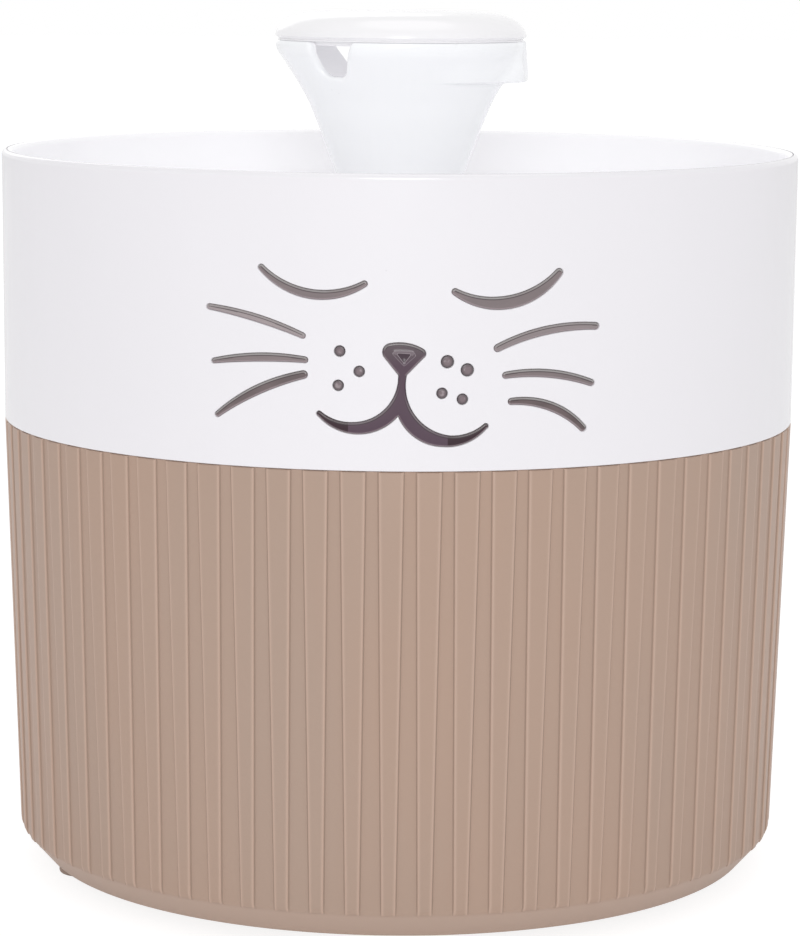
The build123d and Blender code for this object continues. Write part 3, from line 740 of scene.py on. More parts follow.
def wall_radius(z):
    return RIM_RADIUS - WALL_DRAFT * (RIM_HEIGHT - z) / (RIM_HEIGHT - SLEEVE_LINE)


def bevel_radius(z):
    return lerp(BASE_RADIUS, ROOT_FOOT, (z - SLEEVE_BASE) / (RIB_END - SLEEVE_BASE))


def wall_inner(z):
    return wall_radius(z) - WALL


# Strokes of the face about the nose: start, middle, end, the widths there, and how pale it is;
# dots: centre, radius
FACE_LEVEL = 133.3
STROKES = [
    ((-29.6, 18.8), (-19.0, 13.4), (-7.4, 15.8), 1.4, 2.1, 1.4, 0.4),
    ((12.0, 14.2), (24.1, 11.9), (34.4, 18.0), 1.5, 2.9, 1.8, 0.4),
    ((-41.0, 9.8), (-30.5, 7.8), (-20.6, 4.4), 1.3, 1.7, 1.3, 1.0),
    ((-40.0, -1.9), (-30.0, -0.6), (-20.1, -0.8), 1.2, 1.9, 1.4, 0.4),
    ((-39.2, -13.5), (-30.2, -7.6), (-20.4, -4.0), 1.3, 2.1, 1.8, 0.1),
    ((21.3, 2.0), (31.6, 5.5), (42.7, 6.1), 1.7, 1.9, 1.6, 0.65),
    ((23.1, -3.9), (32.5, -3.8), (41.9, -6.2), 1.5, 1.8, 1.5, 0.35),
    ((24.4, -9.6), (32.9, -10.9), (40.2, -16.0), 1.5, 2.0, 1.6, 0.0),
]
DOTS = [(-12.6, 1.3, 1.2), (-8.4, -3.0, 1.2), (-12.9, -6.1, 1.2),
        (10.5, -0.8, 1.4), (14.8, -2.6, 1.4), (9.4, -7.6, 1.2), (13.8, -8.9, 1.2)]
# Nose, stem and mouth in one loop: an arc through a point to its end, or a line
MOUTH_START = (0.0, -3.7)
MOUTH = [
    ((-2.9, -11.1), (-9.8, -14.0)), ((-13.9, -13.4), (-16.8, -11.7)), ((-17.6, -12.2), (-17.2, -12.9)),
    ((-8.6, -16.6), (0.0, -12.6)), ((3.4, -17.0), (9.7, -19.2)), ((15.6, -18.1), (19.1, -15.4)),
    ((19.5, -14.7), (18.7, -14.2)), ((15.6, -16.1), (11.4, -16.8)), ((5.7, -14.5), (1.8, -3.7)),
    (None, (5.3, -0.1)), ((5.9, 1.0), (5.2, 2.0)), ((1.0, 3.3), (-2.3, 3.0)),
    ((-3.3, 2.0), (-2.9, -0.1)), (None, MOUTH_START),
]
# How far from the middle the painted shade at the mouth's ends begins
MOUTH_SHADE = 10.7
# Facet sunk in the nose and the bezel about it: (side, rise, rounding)
NOSE_FACET = [(-0.55, 1.07, 0.25), (1.22, -1.2, 0.3), (2.85, 0.88, 0.25)]
NOSE_BEZEL = [(-0.87, 1.5, 0.2), (-1.35, 0.95, 0.2), (1.21, -1.8, 0.3), (3.75, 0.5, 0.2), (3.2, 1.42, 0.2)]
FACET_DEPTH = 0.12
STROKE_STEP = 0.35


def stroke_loop(start, middle, end, start_width, middle_width, end_width):
    """A stroke along an arc, as wide as stated across it, with round ends."""
    line = np.array(arc_points(start, middle, end, STROKE_STEP) + [end])
    along = np.gradient(line, axis=0)
    along /= np.hypot(along[:, 0], along[:, 1])[:, None]
    share = np.linspace(0, 1, len(line))
    swell = middle_width - (start_width + end_width) / 2
    half = (lerp(start_width, end_width, share) + swell * np.sin(pi * share))[:, None] / 2
    across = np.column_stack((-along[:, 1], along[:, 0])) * half
    left, right = [tuple(p) for p in line + across], [tuple(p) for p in line - across]
    tail, head = tuple(line[-1] + along[-1] * half[-1]), tuple(line[0] - along[0] * half[0])
    return (left[:-1] + arc_points(left[-1], tail, right[-1], STROKE_STEP)
            + right[:0:-1] + arc_points(right[0], head, left[0], STROKE_STEP))


def mouth_loop():
    loop, here = [], MOUTH_START
    for through, end in MOUTH:
        if through:
            loop += arc_points(here, through, end, STROKE_STEP)
        else:
            loop += line_points(here, end, STROKE_STEP)
        here = end
    return loop


def on_wall(loop):
    """A flat loop about the nose in sheet coordinates of the wall, inside on its left."""
    area = sum(a[0] * b[1] - a[1] * b[0] for a, b in zip(loop, loop[1:] + loop[:1]))
    loop = loop if area > 0 else loop[::-1]
    return [(RIM_RADIUS * asin(x / RIM_RADIUS), y + FACE_LEVEL) for x, y in loop]


def face_loops():
    """The strokes, the dots and the mouth in sheet coordinates of the wall."""
    dots = [circle_points(x, y, radius, round(2 * pi * radius / STROKE_STEP)) for x, y, radius in DOTS]
    strokes = [stroke_loop(*values) for *values, _ in STROKES]
    return [[on_wall(loop) for loop in loops] for loops in (strokes, dots, [mouth_loop()])]


def nose_loops():
    """The facet and the bezel in sheet coordinates of the wall."""
    return [on_wall(divided(rounded(corners, 3, 0.1), 0.3)) for corners in (NOSE_FACET, NOSE_BEZEL)]


def depth_inside(points, loops):
    """Distance to the loops, negative outside them."""
    within = np.zeros(len(points), bool)
    for loop in loops:
        within |= inside(points, loop)
    return np.where(within, 1, -1) * distance(points, loops)


# Halves of the wall's two sheets in degrees, the radius of the hole in the rear one, and the
# columns, rows and cells that they share
FACE_HALF = 31
GROMMET_HALF = 9
GROMMET_HOLE = 8.0
WALL_COLUMNS = range(-180, 180)
WALL_ROWS = even(WINDOW_FOOT + 0.6, WINDOW_TOP - 0.6, 5.0)
WALL_CELL = 1.66
# Rows of points beside a stroke's edge, outside it and inside it, and beside the lines in the nose
FACE_STEPS = (-0.12, -0.25, -0.4, -0.6, -0.85, 0.08, 0.16, 0.26, 0.38, 0.5, 0.64, 0.85, 1.15)
FACET_STEP = 0.12


def wall_columns(low, high):
    return [radians(azimuth) * RIM_RADIUS for azimuth in range(low, high + 1)]


@cache
def face_sheet():
    between = [lerp(a, b, share) for a, b in zip(WALL_ROWS, WALL_ROWS[1:]) for share in (1 / 3, 2 / 3)]
    facet, bezel = nose_loops()
    beside_them = [beside(loop, reach)
                   for loop, reach in ((facet, FACET_STEP), (facet, -FACET_STEP), (bezel, -FACET_STEP))]
    marks = [facet, bezel] + [[tuple(point) for point in loop] for loop in beside_them]
    return Sheet(wall_columns(-FACE_HALF, FACE_HALF), sorted(WALL_ROWS + between), sum(face_loops(), []),
                 FACE_STEPS, WALL_CELL, marks)


def grommet_sheet():
    loop = circle_points(pi * RIM_RADIUS, GROMMET_LEVEL, GROMMET_HOLE, 72)
    columns = wall_columns(180 - GROMMET_HALF, 180 + GROMMET_HALF)
    return Sheet(columns, WALL_ROWS, [loop], (-0.15, -0.4, 0.15, 0.4), WALL_CELL)


class FOUNTAIN_OT_tank(Operator):
    """Make the white tank with the cut-outs of the face and the hole for the cable grommet"""

    bl_idname = "fountain.tank"
    bl_label = "Tank"

    def execute(self, context):
        rim = settings().body.rim_round / MM
        ledge = RIM_RADIUS - WALL - LEDGE_WIDTH
        corners = [
            (0, TANK_BASE, 0), (bevel_radius(TANK_BASE) - TANK_INSET, TANK_BASE, 0.6),
            (sleeve_radius(RIB_END) - TANK_INSET, RIB_END, 0.6),
            (sleeve_radius(SLEEVE_LINE) - TANK_INSET, SLEEVE_LINE, 0),
            (wall_radius(SLEEVE_LINE), SLEEVE_LINE, 0.3),
            (RIM_RADIUS, RIM_HEIGHT, rim), (RIM_RADIUS - WALL, RIM_HEIGHT, rim),
            (RIM_RADIUS - WALL, LEDGE, 0.5), (ledge, LEDGE, 0.3), (ledge, LEDGE_EDGE, 0.2),
            (wall_inner(LEDGE_FOOT), LEDGE_FOOT, 0.4),
            (wall_inner(SLEEVE_LINE), SLEEVE_LINE + WALL, 0.4),
            (sleeve_radius(SLEEVE_LINE) - TANK_INSET - WALL, SLEEVE_LINE + WALL / 2, 0.4),
            (sleeve_radius(RIB_END) - TANK_INSET - WALL, RIB_END + WALL / 2, 2.0),
            (bevel_radius(TANK_FLOOR) - TANK_INSET - WALL, TANK_FLOOR, 2.0), (0, TANK_FLOOR, 0),
        ]
        outline = self.with_rows(rounded(corners))
        levels = [z for _, z in outline]
        low, high = WALL_ROWS[0] - 1e-4, WALL_ROWS[-1] + 1e-4

        def patched(row, column):
            """Whether one of the two sheets takes the face's place."""
            following = (row + 1) % len(levels)
            if not (low < levels[row] < high and low < levels[following] < high):
                return False
            azimuth = WALL_COLUMNS[column] + 0.5
            return abs(azimuth) < FACE_HALF or abs(azimuth) > 180 - GROMMET_HALF

        body = revolve(outline, WALL_COLUMNS, patched)
        wall = [lambda p: around(p, wall_radius(p[:, 1]), RIM_RADIUS),
                lambda p: around(p, wall_inner(p[:, 1]), RIM_RADIUS)]
        front = face_sheet().shell(*wall, 0.22, 0.15)
        back = grommet_sheet().shell(*wall, 0.4, 0.2)
        mesh = smoothed(as_mesh("tank_shell", *joined(body, front, back, self.mark())))
        points = in_millimetres(mesh)
        # Marks the inside, which the material paints paler and lets glow as painted light.
        within = np.hypot(points[:, 0], points[:, 1]) < wall_radius(points[:, 2]) - WALL / 2
        keep_numbers(mesh, {"within": within})
        piece("tank_shell", mesh, "white_gloss", "base", ["tank"])
        return {"FINISHED"}

    @staticmethod
    def with_rows(outline):
        """The outline with the rows of the sheets added on both sides of the wall."""
        made = []
        for here, there in zip(outline, outline[1:] + outline[:1]):
            made.append(here)
            low, high = sorted((here[1], there[1]))
            if low == here[1]:
                made += [(wall_radius(z), z) for z in WALL_ROWS if low < z < high]
            else:
                made += [(wall_inner(z), z) for z in WALL_ROWS[::-1] if low < z < high]
        return made

    @staticmethod
    def mark():
        """Small raised level mark inside the rear wall."""
        azimuth, width, low, tall = 145.0, 4.5, LEDGE + 3.8, 1.3
        points, faces = [], []
        for depth, inset in ((-0.3, 0.0), (0.35, 0.0), (0.5, 0.15)):
            radius = RIM_RADIUS - WALL - depth
            for x, z in ((-1, 0), (1, 0), (1, 1), (-1, 1)):
                side = x * (width / 2 - inset)
                angle = radians(azimuth) + side / radius
                level = low + inset + z * (tall - 2 * inset)
                points.append((radius * sin(angle), -radius * cos(angle), level))
        for ring in (0, 4):
            for i in range(4):
                j = (i + 1) % 4
                faces.append([ring + i, ring + j, ring + 4 + j, ring + 4 + i])
        return points, faces + [[3, 2, 1, 0], [8, 9, 10, 11]]


WINDOW_PLATE_RADIUS = 92.15
WINDOW_PLATE = 1.5
WINDOW_SLACK = 0.05
CROWN_REACH = 1.2
FACET_SOFT = 0.14
BEZEL_SOFT = 0.12
BEZEL_RISE = 0.4 * FACET_DEPTH


class FOUNTAIN_OT_face(Operator):
    """Make the smoky face insert: a curved plate behind the wall with the strokes raised on it"""

    bl_idname = "fountain.face"
    bl_label = "Face insert"

    def execute(self, context):
        s = settings().face
        sheet = face_sheet()
        points = sheet.points
        shrunk = points.copy()
        for loop in sheet.loops:
            for old, new in zip(loop, beside(loop, WINDOW_SLACK)):
                shrunk[np.hypot(points[:, 0] - old[0], points[:, 1] - old[1]).argmin()] = new
        gap = np.maximum(depth_inside(shrunk, sheet.loops) - WINDOW_SLACK, 0)
        swell = s.crown / MM * np.sin(ramp(gap, 0, CROWN_REACH) * pi / 2)
        depth = s.recess / MM + round_edge(gap, s.edge_round / MM) - swell
        facet, bezel = (depth_inside(points, [loop]) for loop in nose_loops())
        depth += FACET_DEPTH * ramp(facet, -FACET_SOFT / 2, FACET_SOFT / 2)
        depth -= BEZEL_RISE * np.exp(-(bezel / BEZEL_SOFT) ** 2)
        front, face, rear = (
            around(shrunk, radius, RIM_RADIUS) for radius in
            (wall_radius(points[:, 1]) - depth, WINDOW_PLATE_RADIUS, WINDOW_PLATE_RADIUS - WINDOW_PLATE))
        count = len(points)
        cap, rest = sheet.faces[sheet.cut], sheet.faces[~sheet.cut]
        faces = [list(f) for f in cap] + [[i + count for i in f] for f in rest]
        faces += [[i + 2 * count for i in f[::-1]] for f in sheet.faces]
        faces += self.skirt(cap, 0, count) + self.skirt(sheet.faces, count, 2 * count)
        shell = [tuple(p) for p in np.vstack((front, face, rear))]
        used = sorted({i for f in faces for i in f})
        order = {old: new for new, old in enumerate(used)}
        mesh = as_mesh("face_insert", [shell[i] for i in used], [[order[i] for i in f] for f in faces])
        self.keep_strokes(mesh)
        piece("face_insert", smoothed(mesh, 50), "smoky_clear", "base", ["face_window"])
        return {"FINISHED"}

    @staticmethod
    def skirt(faces, top, foot):
        """Walls from the open edges of one layer of points down to the next."""
        return [[b + top, a + top, a + foot, b + foot] for a, b in open_edges(faces)]

    @staticmethod
    def keep_strokes(mesh):
        """Keeps on the mesh how deep each point lies in its stroke, whether the near edge is above
        it, which kind of stroke it is and how pale, and how far it lies outside the nose's facet
        and bezel."""
        x, y, z = in_millimetres(mesh).T
        points = np.column_stack((RIM_RADIUS * np.arctan2(x, -y), z))
        strokes, dots, mouth = face_loops()
        loops = strokes + dots + mouth
        step, margin = 0.04, 0.3
        low, high = (depth_inside(points + (0, rise), loops) for rise in (-step, step))
        part, pale = np.zeros(len(points)), np.zeros(len(points))
        part[depth_inside(points, dots) > -margin] = 1
        part[depth_inside(points, mouth) > -margin] = 2
        for loop, (*_, tone) in zip(strokes, STROKES):
            pale[depth_inside(points, [loop]) > -margin] = tone
        facet, bezel = (-depth_inside(points, [loop]) for loop in nose_loops())
        keep_numbers(mesh, {
            "rim": np.maximum(depth_inside(points, loops), 0), "above": (low - high) / (2 * step),
            "part": part, "pale": pale, "facet": facet, "bezel": bezel})


# ------------------------------------------------------------------ sleeve
def ring_tree():
    """Copies of a geometry in a ring about Z."""
    tree = bpy.data.node_groups.new("Copies in a ring", "GeometryNodeTree")
    for name, kind in (("Geometry", "NodeSocketGeometry"), ("Count", "NodeSocketInt"),
                       ("First angle", "NodeSocketFloat"), ("Material", "NodeSocketMaterial")):
        tree.interface.new_socket(name, in_out="INPUT", socket_type=kind)
    tree.interface.new_socket("Geometry", in_out="OUTPUT", socket_type="NodeSocketGeometry")
    nodes = Nodes(tree)
    given = nodes.place("NodeGroupInput")
    shape, count, first, material = (Socket(nodes, given.outputs[i]) for i in range(4))
    index = nodes.add("GeometryNodeInputIndex")
    angle = index * (2 * pi) / count + first
    turn = nodes.add("ShaderNodeCombineXYZ", None, {"Z": angle})
    copies = nodes.add("GeometryNodeInstanceOnPoints", None, {
        "Points": nodes.add("GeometryNodePoints", None, {"Count": count}),
        "Instance": shape, "Rotation": turn})
    real = nodes.add("GeometryNodeRealizeInstances", None, {"Geometry": copies})
    merged = nodes.add("GeometryNodeMergeByDistance", None, {"Geometry": real, "Distance": 2e-6})
    coated = nodes.add("GeometryNodeSetMaterial", None, {"Geometry": merged, "Material": material})
    nodes.place("NodeGroupOutput", None, {0: coated})
    return tree


def in_a_ring(name, mesh, count, first, material):
    """Mesh of copies in a ring, made by geometry nodes."""
    source = scene_object(name, mesh)
    modifier = source.modifiers.new("Ring", "NODES")
    modifier.node_group = ring_tree()
    wanted = {"Count": count, "First angle": first, "Material": Finish.made[material]}
    for item in modifier.node_group.interface.items_tree:
        if item.in_out == "INPUT" and item.name in wanted:
            modifier[item.identifier] = wanted[item.name]
    evaluated = source.evaluated_get(bpy.context.evaluated_depsgraph_get())
    made = bpy.data.meshes.new_from_object(evaluated)
    bpy.data.objects.remove(source)
    made.name = name
    return made


SLEEVE_WALL = 2.2
BASE_HOLE = 57.8
BASE_RING_TOP = 5.0
# Height of a rib's levels and how much of its depth it has there
RIB_LEVELS = [(RIB_END - 0.3, 0.0), (RIB_END + 0.1, 0.25), (RIB_END + 0.5, 0.62), (RIB_END + 1.0, 0.88),
              (RIB_END + 1.7, 1.0), (34, 1.0), (59, 1.0), (84, 1.0), (SEAM - 0.45, 1.0),
              (SEAM - 0.2, 0.8), (SEAM - 0.1, 0.5), (SEAM - 0.08, 0.0)]
# Across a rib, from its fillet to its face: how far outside its half width, the share of the
# depth, and the painted light of the edge, a painted highlight where it is 1 and painted shade where it is -1
RIB_SECTION = [(0.3, -0.04, -0.1), (0.12, 0.06, -1.0), (0.02, 0.2, -1.0), (0.0, 0.34, -0.2),
               (-0.045, 0.66, 0.7), (-0.14, 0.88, 1.0), (-0.34, 1.0, 0.9), (-0.6, 1.0, 0.35),
               (-1.0, 1.0, 0.0)]


class FOUNTAIN_OT_sleeve(Operator):
    """Make the taupe sleeve: a smooth wall with a bevelled foot and the ribs round it"""

    bl_idname = "fountain.sleeve"
    bl_label = "Ribbed sleeve"

    def execute(self, context):
        s = settings().sleeve
        corners = [
            (BASE_HOLE, SLEEVE_BASE, 0.4), (BASE_RADIUS, SLEEVE_BASE, 0.9), (ROOT_FOOT, RIB_END, 1.6),
            (sleeve_radius(SEAM), SEAM, 0.15), (sleeve_radius(SEAM) - SLEEVE_WALL, SEAM, 0.25),
            (ROOT_FOOT - SLEEVE_WALL, RIB_END, 0.8),
            (bevel_radius(BASE_RING_TOP) - SLEEVE_WALL, BASE_RING_TOP, 0.4),
            (BASE_HOLE, BASE_RING_TOP, 0.4),
        ]
        wall = smoothed(as_mesh("sleeve_wall", *revolve(rounded(corners, 6), WALL_COLUMNS)))
        piece("sleeve_wall", wall, "satin_taupe", "base", ["tank_sleeve"])
        points, faces, edge_light_shade = self.rib(s)
        rib = as_mesh("sleeve_rib", points, faces)
        # The edge numbers carry the painted highlight on the ribs' edges and the painted shade in their
        # corners.
        keep_numbers(rib, {"edge": edge_light_shade})
        ribs = in_a_ring("sleeve_ribs", smoothed(rib, 75), s.rib_count, s.rib_phase, "satin_taupe")
        piece("sleeve_ribs", ribs, "satin_taupe", "base")
        return {"FINISHED"}

    @staticmethod
    def rib(s):
        """Points, faces and painted edge light and shade of one raised strip in front, wider at the top,
        which ends in rounded feet and has a back sunk in the sleeve."""
        depth = s.rib_depth / MM
        points, faces, edge_light_shade = [], [], []
        for z, share in RIB_LEVELS:
            width = lerp(s.rib_foot_width, s.rib_top_width, (z - RIB_END) / (SLEEVE_TOP - RIB_END)) / MM
            root = sleeve_radius(z)
            sunk = 0.02 if share == 0 else 0
            sides = [(-width / 2 - out, lift, tone) for out, lift, tone in RIB_SECTION]
            sides += [(width / 2 + out, lift, tone) for out, lift, tone in RIB_SECTION[::-1]]
            for side, lift, tone in sides:
                radius = root + depth * lift * share - sunk
                points.append((radius * sin(side / root), -radius * cos(side / root), z))
                edge_light_shade.append(tone)
        row, rows = 2 * len(RIB_SECTION), len(RIB_LEVELS)
        for start in (level * row + i for level in range(rows - 1) for i in range(row - 1)):
            faces.append([start, start + 1, start + row + 1, start + row])
        back = len(points)
        for start in range(0, back, row):
            for x, y, z in (points[start], points[start + row - 1]):
                share = (sleeve_radius(z) - 0.4) / hypot(x, y)
                points.append((x * share, y * share, z))
                edge_light_shade.append(-1.0)
        for level in range(rows - 1):
            left, right, low = level * row, level * row + row - 1, back + 2 * level
            faces += [[left, left + row, low + 2, low], [right, low + 1, low + 3, right + row],
                      [low, low + 2, low + 3, low + 1]]
        last, top = (rows - 1) * row, back + 2 * (rows - 1)
        faces.append(list(range(row))[::-1] + [back, back + 1])
        faces.append(list(range(last, last + row)) + [top + 1, top])
        return points, faces, edge_light_shade


# ------------------------------------------------------------------ tray, filter
TRAY_RECESS = 57.0
TRAY_DISH = 148.5
TRAY_WALL = 2.0
FILTER_SHELF = 5.7


class FOUNTAIN_OT_tray(Operator):
    """Make the drinking tray that stands on the ledge inside the rim"""

    bl_idname = "fountain.tray"
    bl_label = "Drinking tray"

    def execute(self, context):
        under_rim = TRAY_TOP - TRAY_WALL
        seat, drain = TRAY_BASE + TRAY_WALL, TRAY_RECESS - FILTER_SHELF
        low, wall = TRAY_DISH + 1.0, TRAY_RECESS + TRAY_WALL
        corners = [
            (drain, TRAY_BASE, 0.3), (wall, TRAY_BASE, 0.8), (wall, TRAY_DISH - TRAY_WALL, 0.8),
            (79.0, low - TRAY_WALL, 3.0), (86.2, low + 3, 3.0), (89.6, under_rim, 0.6),
            (TRAY_RADIUS, under_rim, 0.3), (TRAY_RADIUS, TRAY_TOP, 0.7), (87.4, TRAY_TOP, 1.2),
            (84.0, low + 5, 4.0), (79.0, low, 4.0), (TRAY_RECESS, TRAY_DISH, 0.5),
            (TRAY_RECESS, seat, 0.4), (drain, seat, 0.3),
        ]
        mesh = smoothed(as_mesh("tray_dish", *revolve(rounded(corners), range(-180, 180, 2))))
        piece("tray_dish", mesh, "white_bright", "tray", ["drinking_tray"])
        return {"FINISHED"}


class FOUNTAIN_OT_filter(Operator):
    """Finish the slotted filter cover, the filter basket and the layers in it"""

    bl_idname = "fountain.filter"
    bl_label = "Filter"

    def execute(self, context):
        dressed("filter_cover", "white_gloss")
        dressed("filter_basket", "white_satin")
        dressed("filter_frame", "white_satin")
        dressed("filter_foam", "filter_foam")
        dressed("filter_carbon", "carbon")
        dressed("filter_pad", "filter_wool")
        return {"FINISHED"}


# ------------------------------------------------------------------ spout and lid
# Outside of the funnel: radius and height over its seat
FUNNEL = [(10.8, 2.2), (12.4, 8.0), (15.4, 18.2), (19.15, 28.2), (22.1, 35.4), (24.8, 40.05),
          (27.8, 44.7), (29.8, 47.4), (29.8, 49.55)]
FUNNEL_WALL = 2.2
FUNNEL_SHIFTS = (-1.4, -0.7, 0.0, 0.7, 1.4)
THROAT = 7.5
STEM = 9.2
SEAT_PLATE = 17.1
SPOUT_RIM_ROUND = 0.3
# The funnel is unrolled on this circle, from a seam between two outlets on
OUTLET_CIRCLE = 27.0
OUTLET_DEPTH = 8.0
NOSE_AZIMUTH = 85.5
SEAM_AZIMUTH = NOSE_AZIMUTH - 60
# Side, rise and rounding of an outlet's corners about its middle, from its left top on
OUTLET = [(-4.9, 0, 1.3), (-5.7, -OUTLET_DEPTH, 3.2), (1.75, -OUTLET_DEPTH, 2.3), (5.4, 0, 1.6)]
NOSE_REACH = 30.1
NOSE_HALF = 7.5
NOSE_SLANT = radians(54)
NOSE_FOOT = SPOUT_TOP - OUTLET_DEPTH - 1.4
NOSE_FOOT_ROUND = 0.4
NOSE_FADE = 3.0
# How fast the nose's radius falls past its slanted sides, per radian, and below its foot
NOSE_SIDE_FALL = 30
NOSE_FOOT_FALL = 16
# Drops from the spout's top over which the nose's flanks fade in and its joint grows softer
FADE_DROPS = (3, 7)
SOFT_DROPS = (2.5, 7.5)
NOSE_SOFT = (0.15, 2.05)
# Rows of points close to the nose's foot, and beside an outlet's edge
FOOT_ROWS = (-1.2, -0.7, -0.35, -0.26, -0.18, -0.1, 0.0, 0.08, 0.2, 0.35, 0.55)
OUTLET_STEPS = (-0.12, -0.28, -0.5, -0.8, -1.15)
SPOUT_CELL = 1.2


def funnel_radius(z):
    """Outside radius of the round funnel, smooth through its levels."""
    radii, heights = np.array(FUNNEL).T
    weights = [np.exp(-shift ** 2) for shift in FUNNEL_SHIFTS]
    levels = [np.interp(z + shift, SPOUT_SEAT + heights, radii) for shift in FUNNEL_SHIFTS]
    return sum(weight * level for weight, level in zip(weights, levels)) / sum(weights)


def nose_radius(azimuth, z):
    """Radius of the nose in a direction: a flat front between slanted sides, over a flat foot."""
    turn = np.radians(np.abs((azimuth - NOSE_AZIMUTH + 180) % 360 - 180))
    front = NOSE_REACH / np.maximum(np.cos(turn), 0.2)
    reach = NOSE_REACH * cos(NOSE_SLANT) + NOSE_HALF * sin(NOSE_SLANT)
    side = reach / np.cos(np.minimum(turn, NOSE_SLANT) - NOSE_SLANT)
    side -= NOSE_SIDE_FALL * np.maximum(turn - NOSE_SLANT, 0)
    box = -np.log(np.exp(-front) + np.exp(-side))
    below = NOSE_FOOT_FALL * np.maximum(NOSE_FOOT - z, 0)
    return box - round_edge(z - NOSE_FOOT, NOSE_FOOT_ROUND) - below


def spout_radius(azimuth, z):
    """Outside radius of the funnel and its nose, blended softly where they meet low down."""
    round_part = funnel_radius(z)
    drop = SPOUT_TOP - z
    proud = nose_radius(azimuth, z) - round_part
    share = ramp(proud, 0, NOSE_FADE)
    faded = lerp(1, share * share * (3 - 2 * share), ramp(drop, *FADE_DROPS) * (proud > 0))
    nose = round_part + proud * faded
    soft = lerp(*NOSE_SOFT, ramp(drop, *SOFT_DROPS))
    high, low = np.maximum(round_part, nose), np.minimum(round_part, nose)
    return high + soft * np.log1p(np.exp(np.clip((low - high) / soft, -30, 0)))


def unrolled(azimuth):
    return radians(azimuth) * OUTLET_CIRCLE


class FOUNTAIN_OT_spout(Operator):
    """Make the funnel spout with its soft-edged outlets and its nose"""

    bl_idname = "fountain.spout"
    bl_label = "Spout"

    def execute(self, context):
        s = settings().spout
        columns, rows = self.grid()
        cut_out = self.outlets(columns[0], columns[-1], rows[-1])
        sheet = Sheet(columns, rows, [cut_out], OUTLET_STEPS, SPOUT_CELL)
        below = ramp(SPOUT_TOP - sheet.points[:, 1:], 0, 1.5)
        lip = lerp(SPOUT_RIM_ROUND, s.lip / MM, below)
        funnel = sheet.shell(self.outside, self.inside, lip, 0.4, foot=True)
        plate, neck = SPOUT_SEAT + 2.2, SPOUT_SEAT + 3.2
        stem = rounded([
            (THROAT, SPOUT_BASE, 0.3), (STEM, SPOUT_BASE, 0.4), (STEM, SPOUT_SEAT, 0.2),
            (SEAT_PLATE, SPOUT_SEAT, 0.4), (SEAT_PLATE, plate, 0.6), (FUNNEL[0][0], plate, 0.8),
            (FUNNEL[0][0], neck, 0), (THROAT, neck, 0)])
        base = revolve(stem, range(0, 360, 3))
        mesh = smoothed(as_mesh("spout_funnel", *joined(funnel, base)), 50)
        x, y, z = in_millimetres(mesh).T
        # Marks the inside, which the material paints paler and lets glow as painted light.
        within = (np.hypot(x, y) < funnel_radius(z) - 0.7 * FUNNEL_WALL) & (z > neck + 0.1)
        keep_numbers(mesh, {"within": within})
        piece("spout_funnel", mesh, "white_bright", "spout", ["spout"])
        return {"FINISHED"}

    @staticmethod
    def grid():
        """Columns and rows of the unrolled funnel, closer together at the nose and its foot."""
        azimuths = [SEAM_AZIMUTH + a for a in range(0, 361, 3)]
        azimuths = sorted(azimuths + [NOSE_AZIMUTH + a for a in even(-34, 34, 1.0)])
        kept = [a for i, a in enumerate(azimuths) if i == 0 or a - azimuths[i - 1] > 0.3]
        columns = [unrolled(azimuth) for azimuth in kept[:-1]] + [unrolled(SEAM_AZIMUTH + 360)]
        rows = even(SPOUT_SEAT + 1.5, NOSE_FOOT - 2, 1.6)
        rows += [NOSE_FOOT + rise for rise in FOOT_ROWS]
        return columns, rows + even(NOSE_FOOT + 1.4, SPOUT_TOP + 6, SPOUT_CELL)

    @staticmethod
    def outlets(first, end, above):
        """What is cut from the unrolled funnel: the three outlets and all above its top."""
        corners = [(first, SPOUT_TOP, 0)]
        for azimuth in (NOSE_AZIMUTH, NOSE_AZIMUTH + 120, NOSE_AZIMUTH + 240):
            corners += [(unrolled(azimuth) + side, SPOUT_TOP + rise, rounding)
                        for side, rise, rounding in OUTLET]
        corners += [(end, SPOUT_TOP, 0), (end, above, 0), (first, above, 0)]
        return divided(rounded(corners, 6, 0.3), 0.5)

    @staticmethod
    def outside(points):
        azimuth = np.degrees(points[:, 0] / OUTLET_CIRCLE)
        return around(points, spout_radius(azimuth, points[:, 1]), OUTLET_CIRCLE)

    @staticmethod
    def inside(points):
        radius = np.maximum(funnel_radius(points[:, 1]) - FUNNEL_WALL, THROAT)
        return around(points, radius, OUTLET_CIRCLE)


# Lid: distance from the axis and drop from the top of its crown; radii of the lip under it
LID_CROWN = [(0.0, 0.0), (4, 0.005), (8, 0.02), (12, 0.06), (15, 0.13), (18, 0.25), (20, 0.37), (22, 0.56),
             (23.5, 0.78), (25, 1.14), (26.2, 1.6), (27.2, 2.15), (28.1, 2.85), (28.8, 3.55), (29.3, 4.15),
             (29.65, 4.7), (29.88, 5.3), (LID_RADIUS, 6.0)]
LID_LIP = (25.7, 27.3)


class FOUNTAIN_OT_lid(Operator):
    """Make the round lid with its soft crown"""

    bl_idname = "fountain.lid"
    bl_label = "Lid"

    def execute(self, context):
        crown = [(reach, LID_TOP - drop) for reach, drop in LID_CROWN]
        edge = LID_BASE + 1.0
        lip_inside, lip_outside = LID_LIP
        under = rounded([
            (LID_RADIUS, edge, 0.15), (lip_outside, edge, 0.2), (lip_outside, LID_BASE, 0.3),
            (lip_inside, LID_BASE, 0.3), (lip_inside, LID_BASE + 2.2, 0.2), (22, LID_TOP - 3.85, 0.4)])
        outline = crown + under + [(0.0, LID_TOP - 2)]
        mesh = smoothed(as_mesh("lid_cap", *revolve(outline, range(0, 360, 2))), 45)
        piece("lid_cap", mesh, "white_lid", "lid", ["spout_lid"])
        return {"FINISHED"}


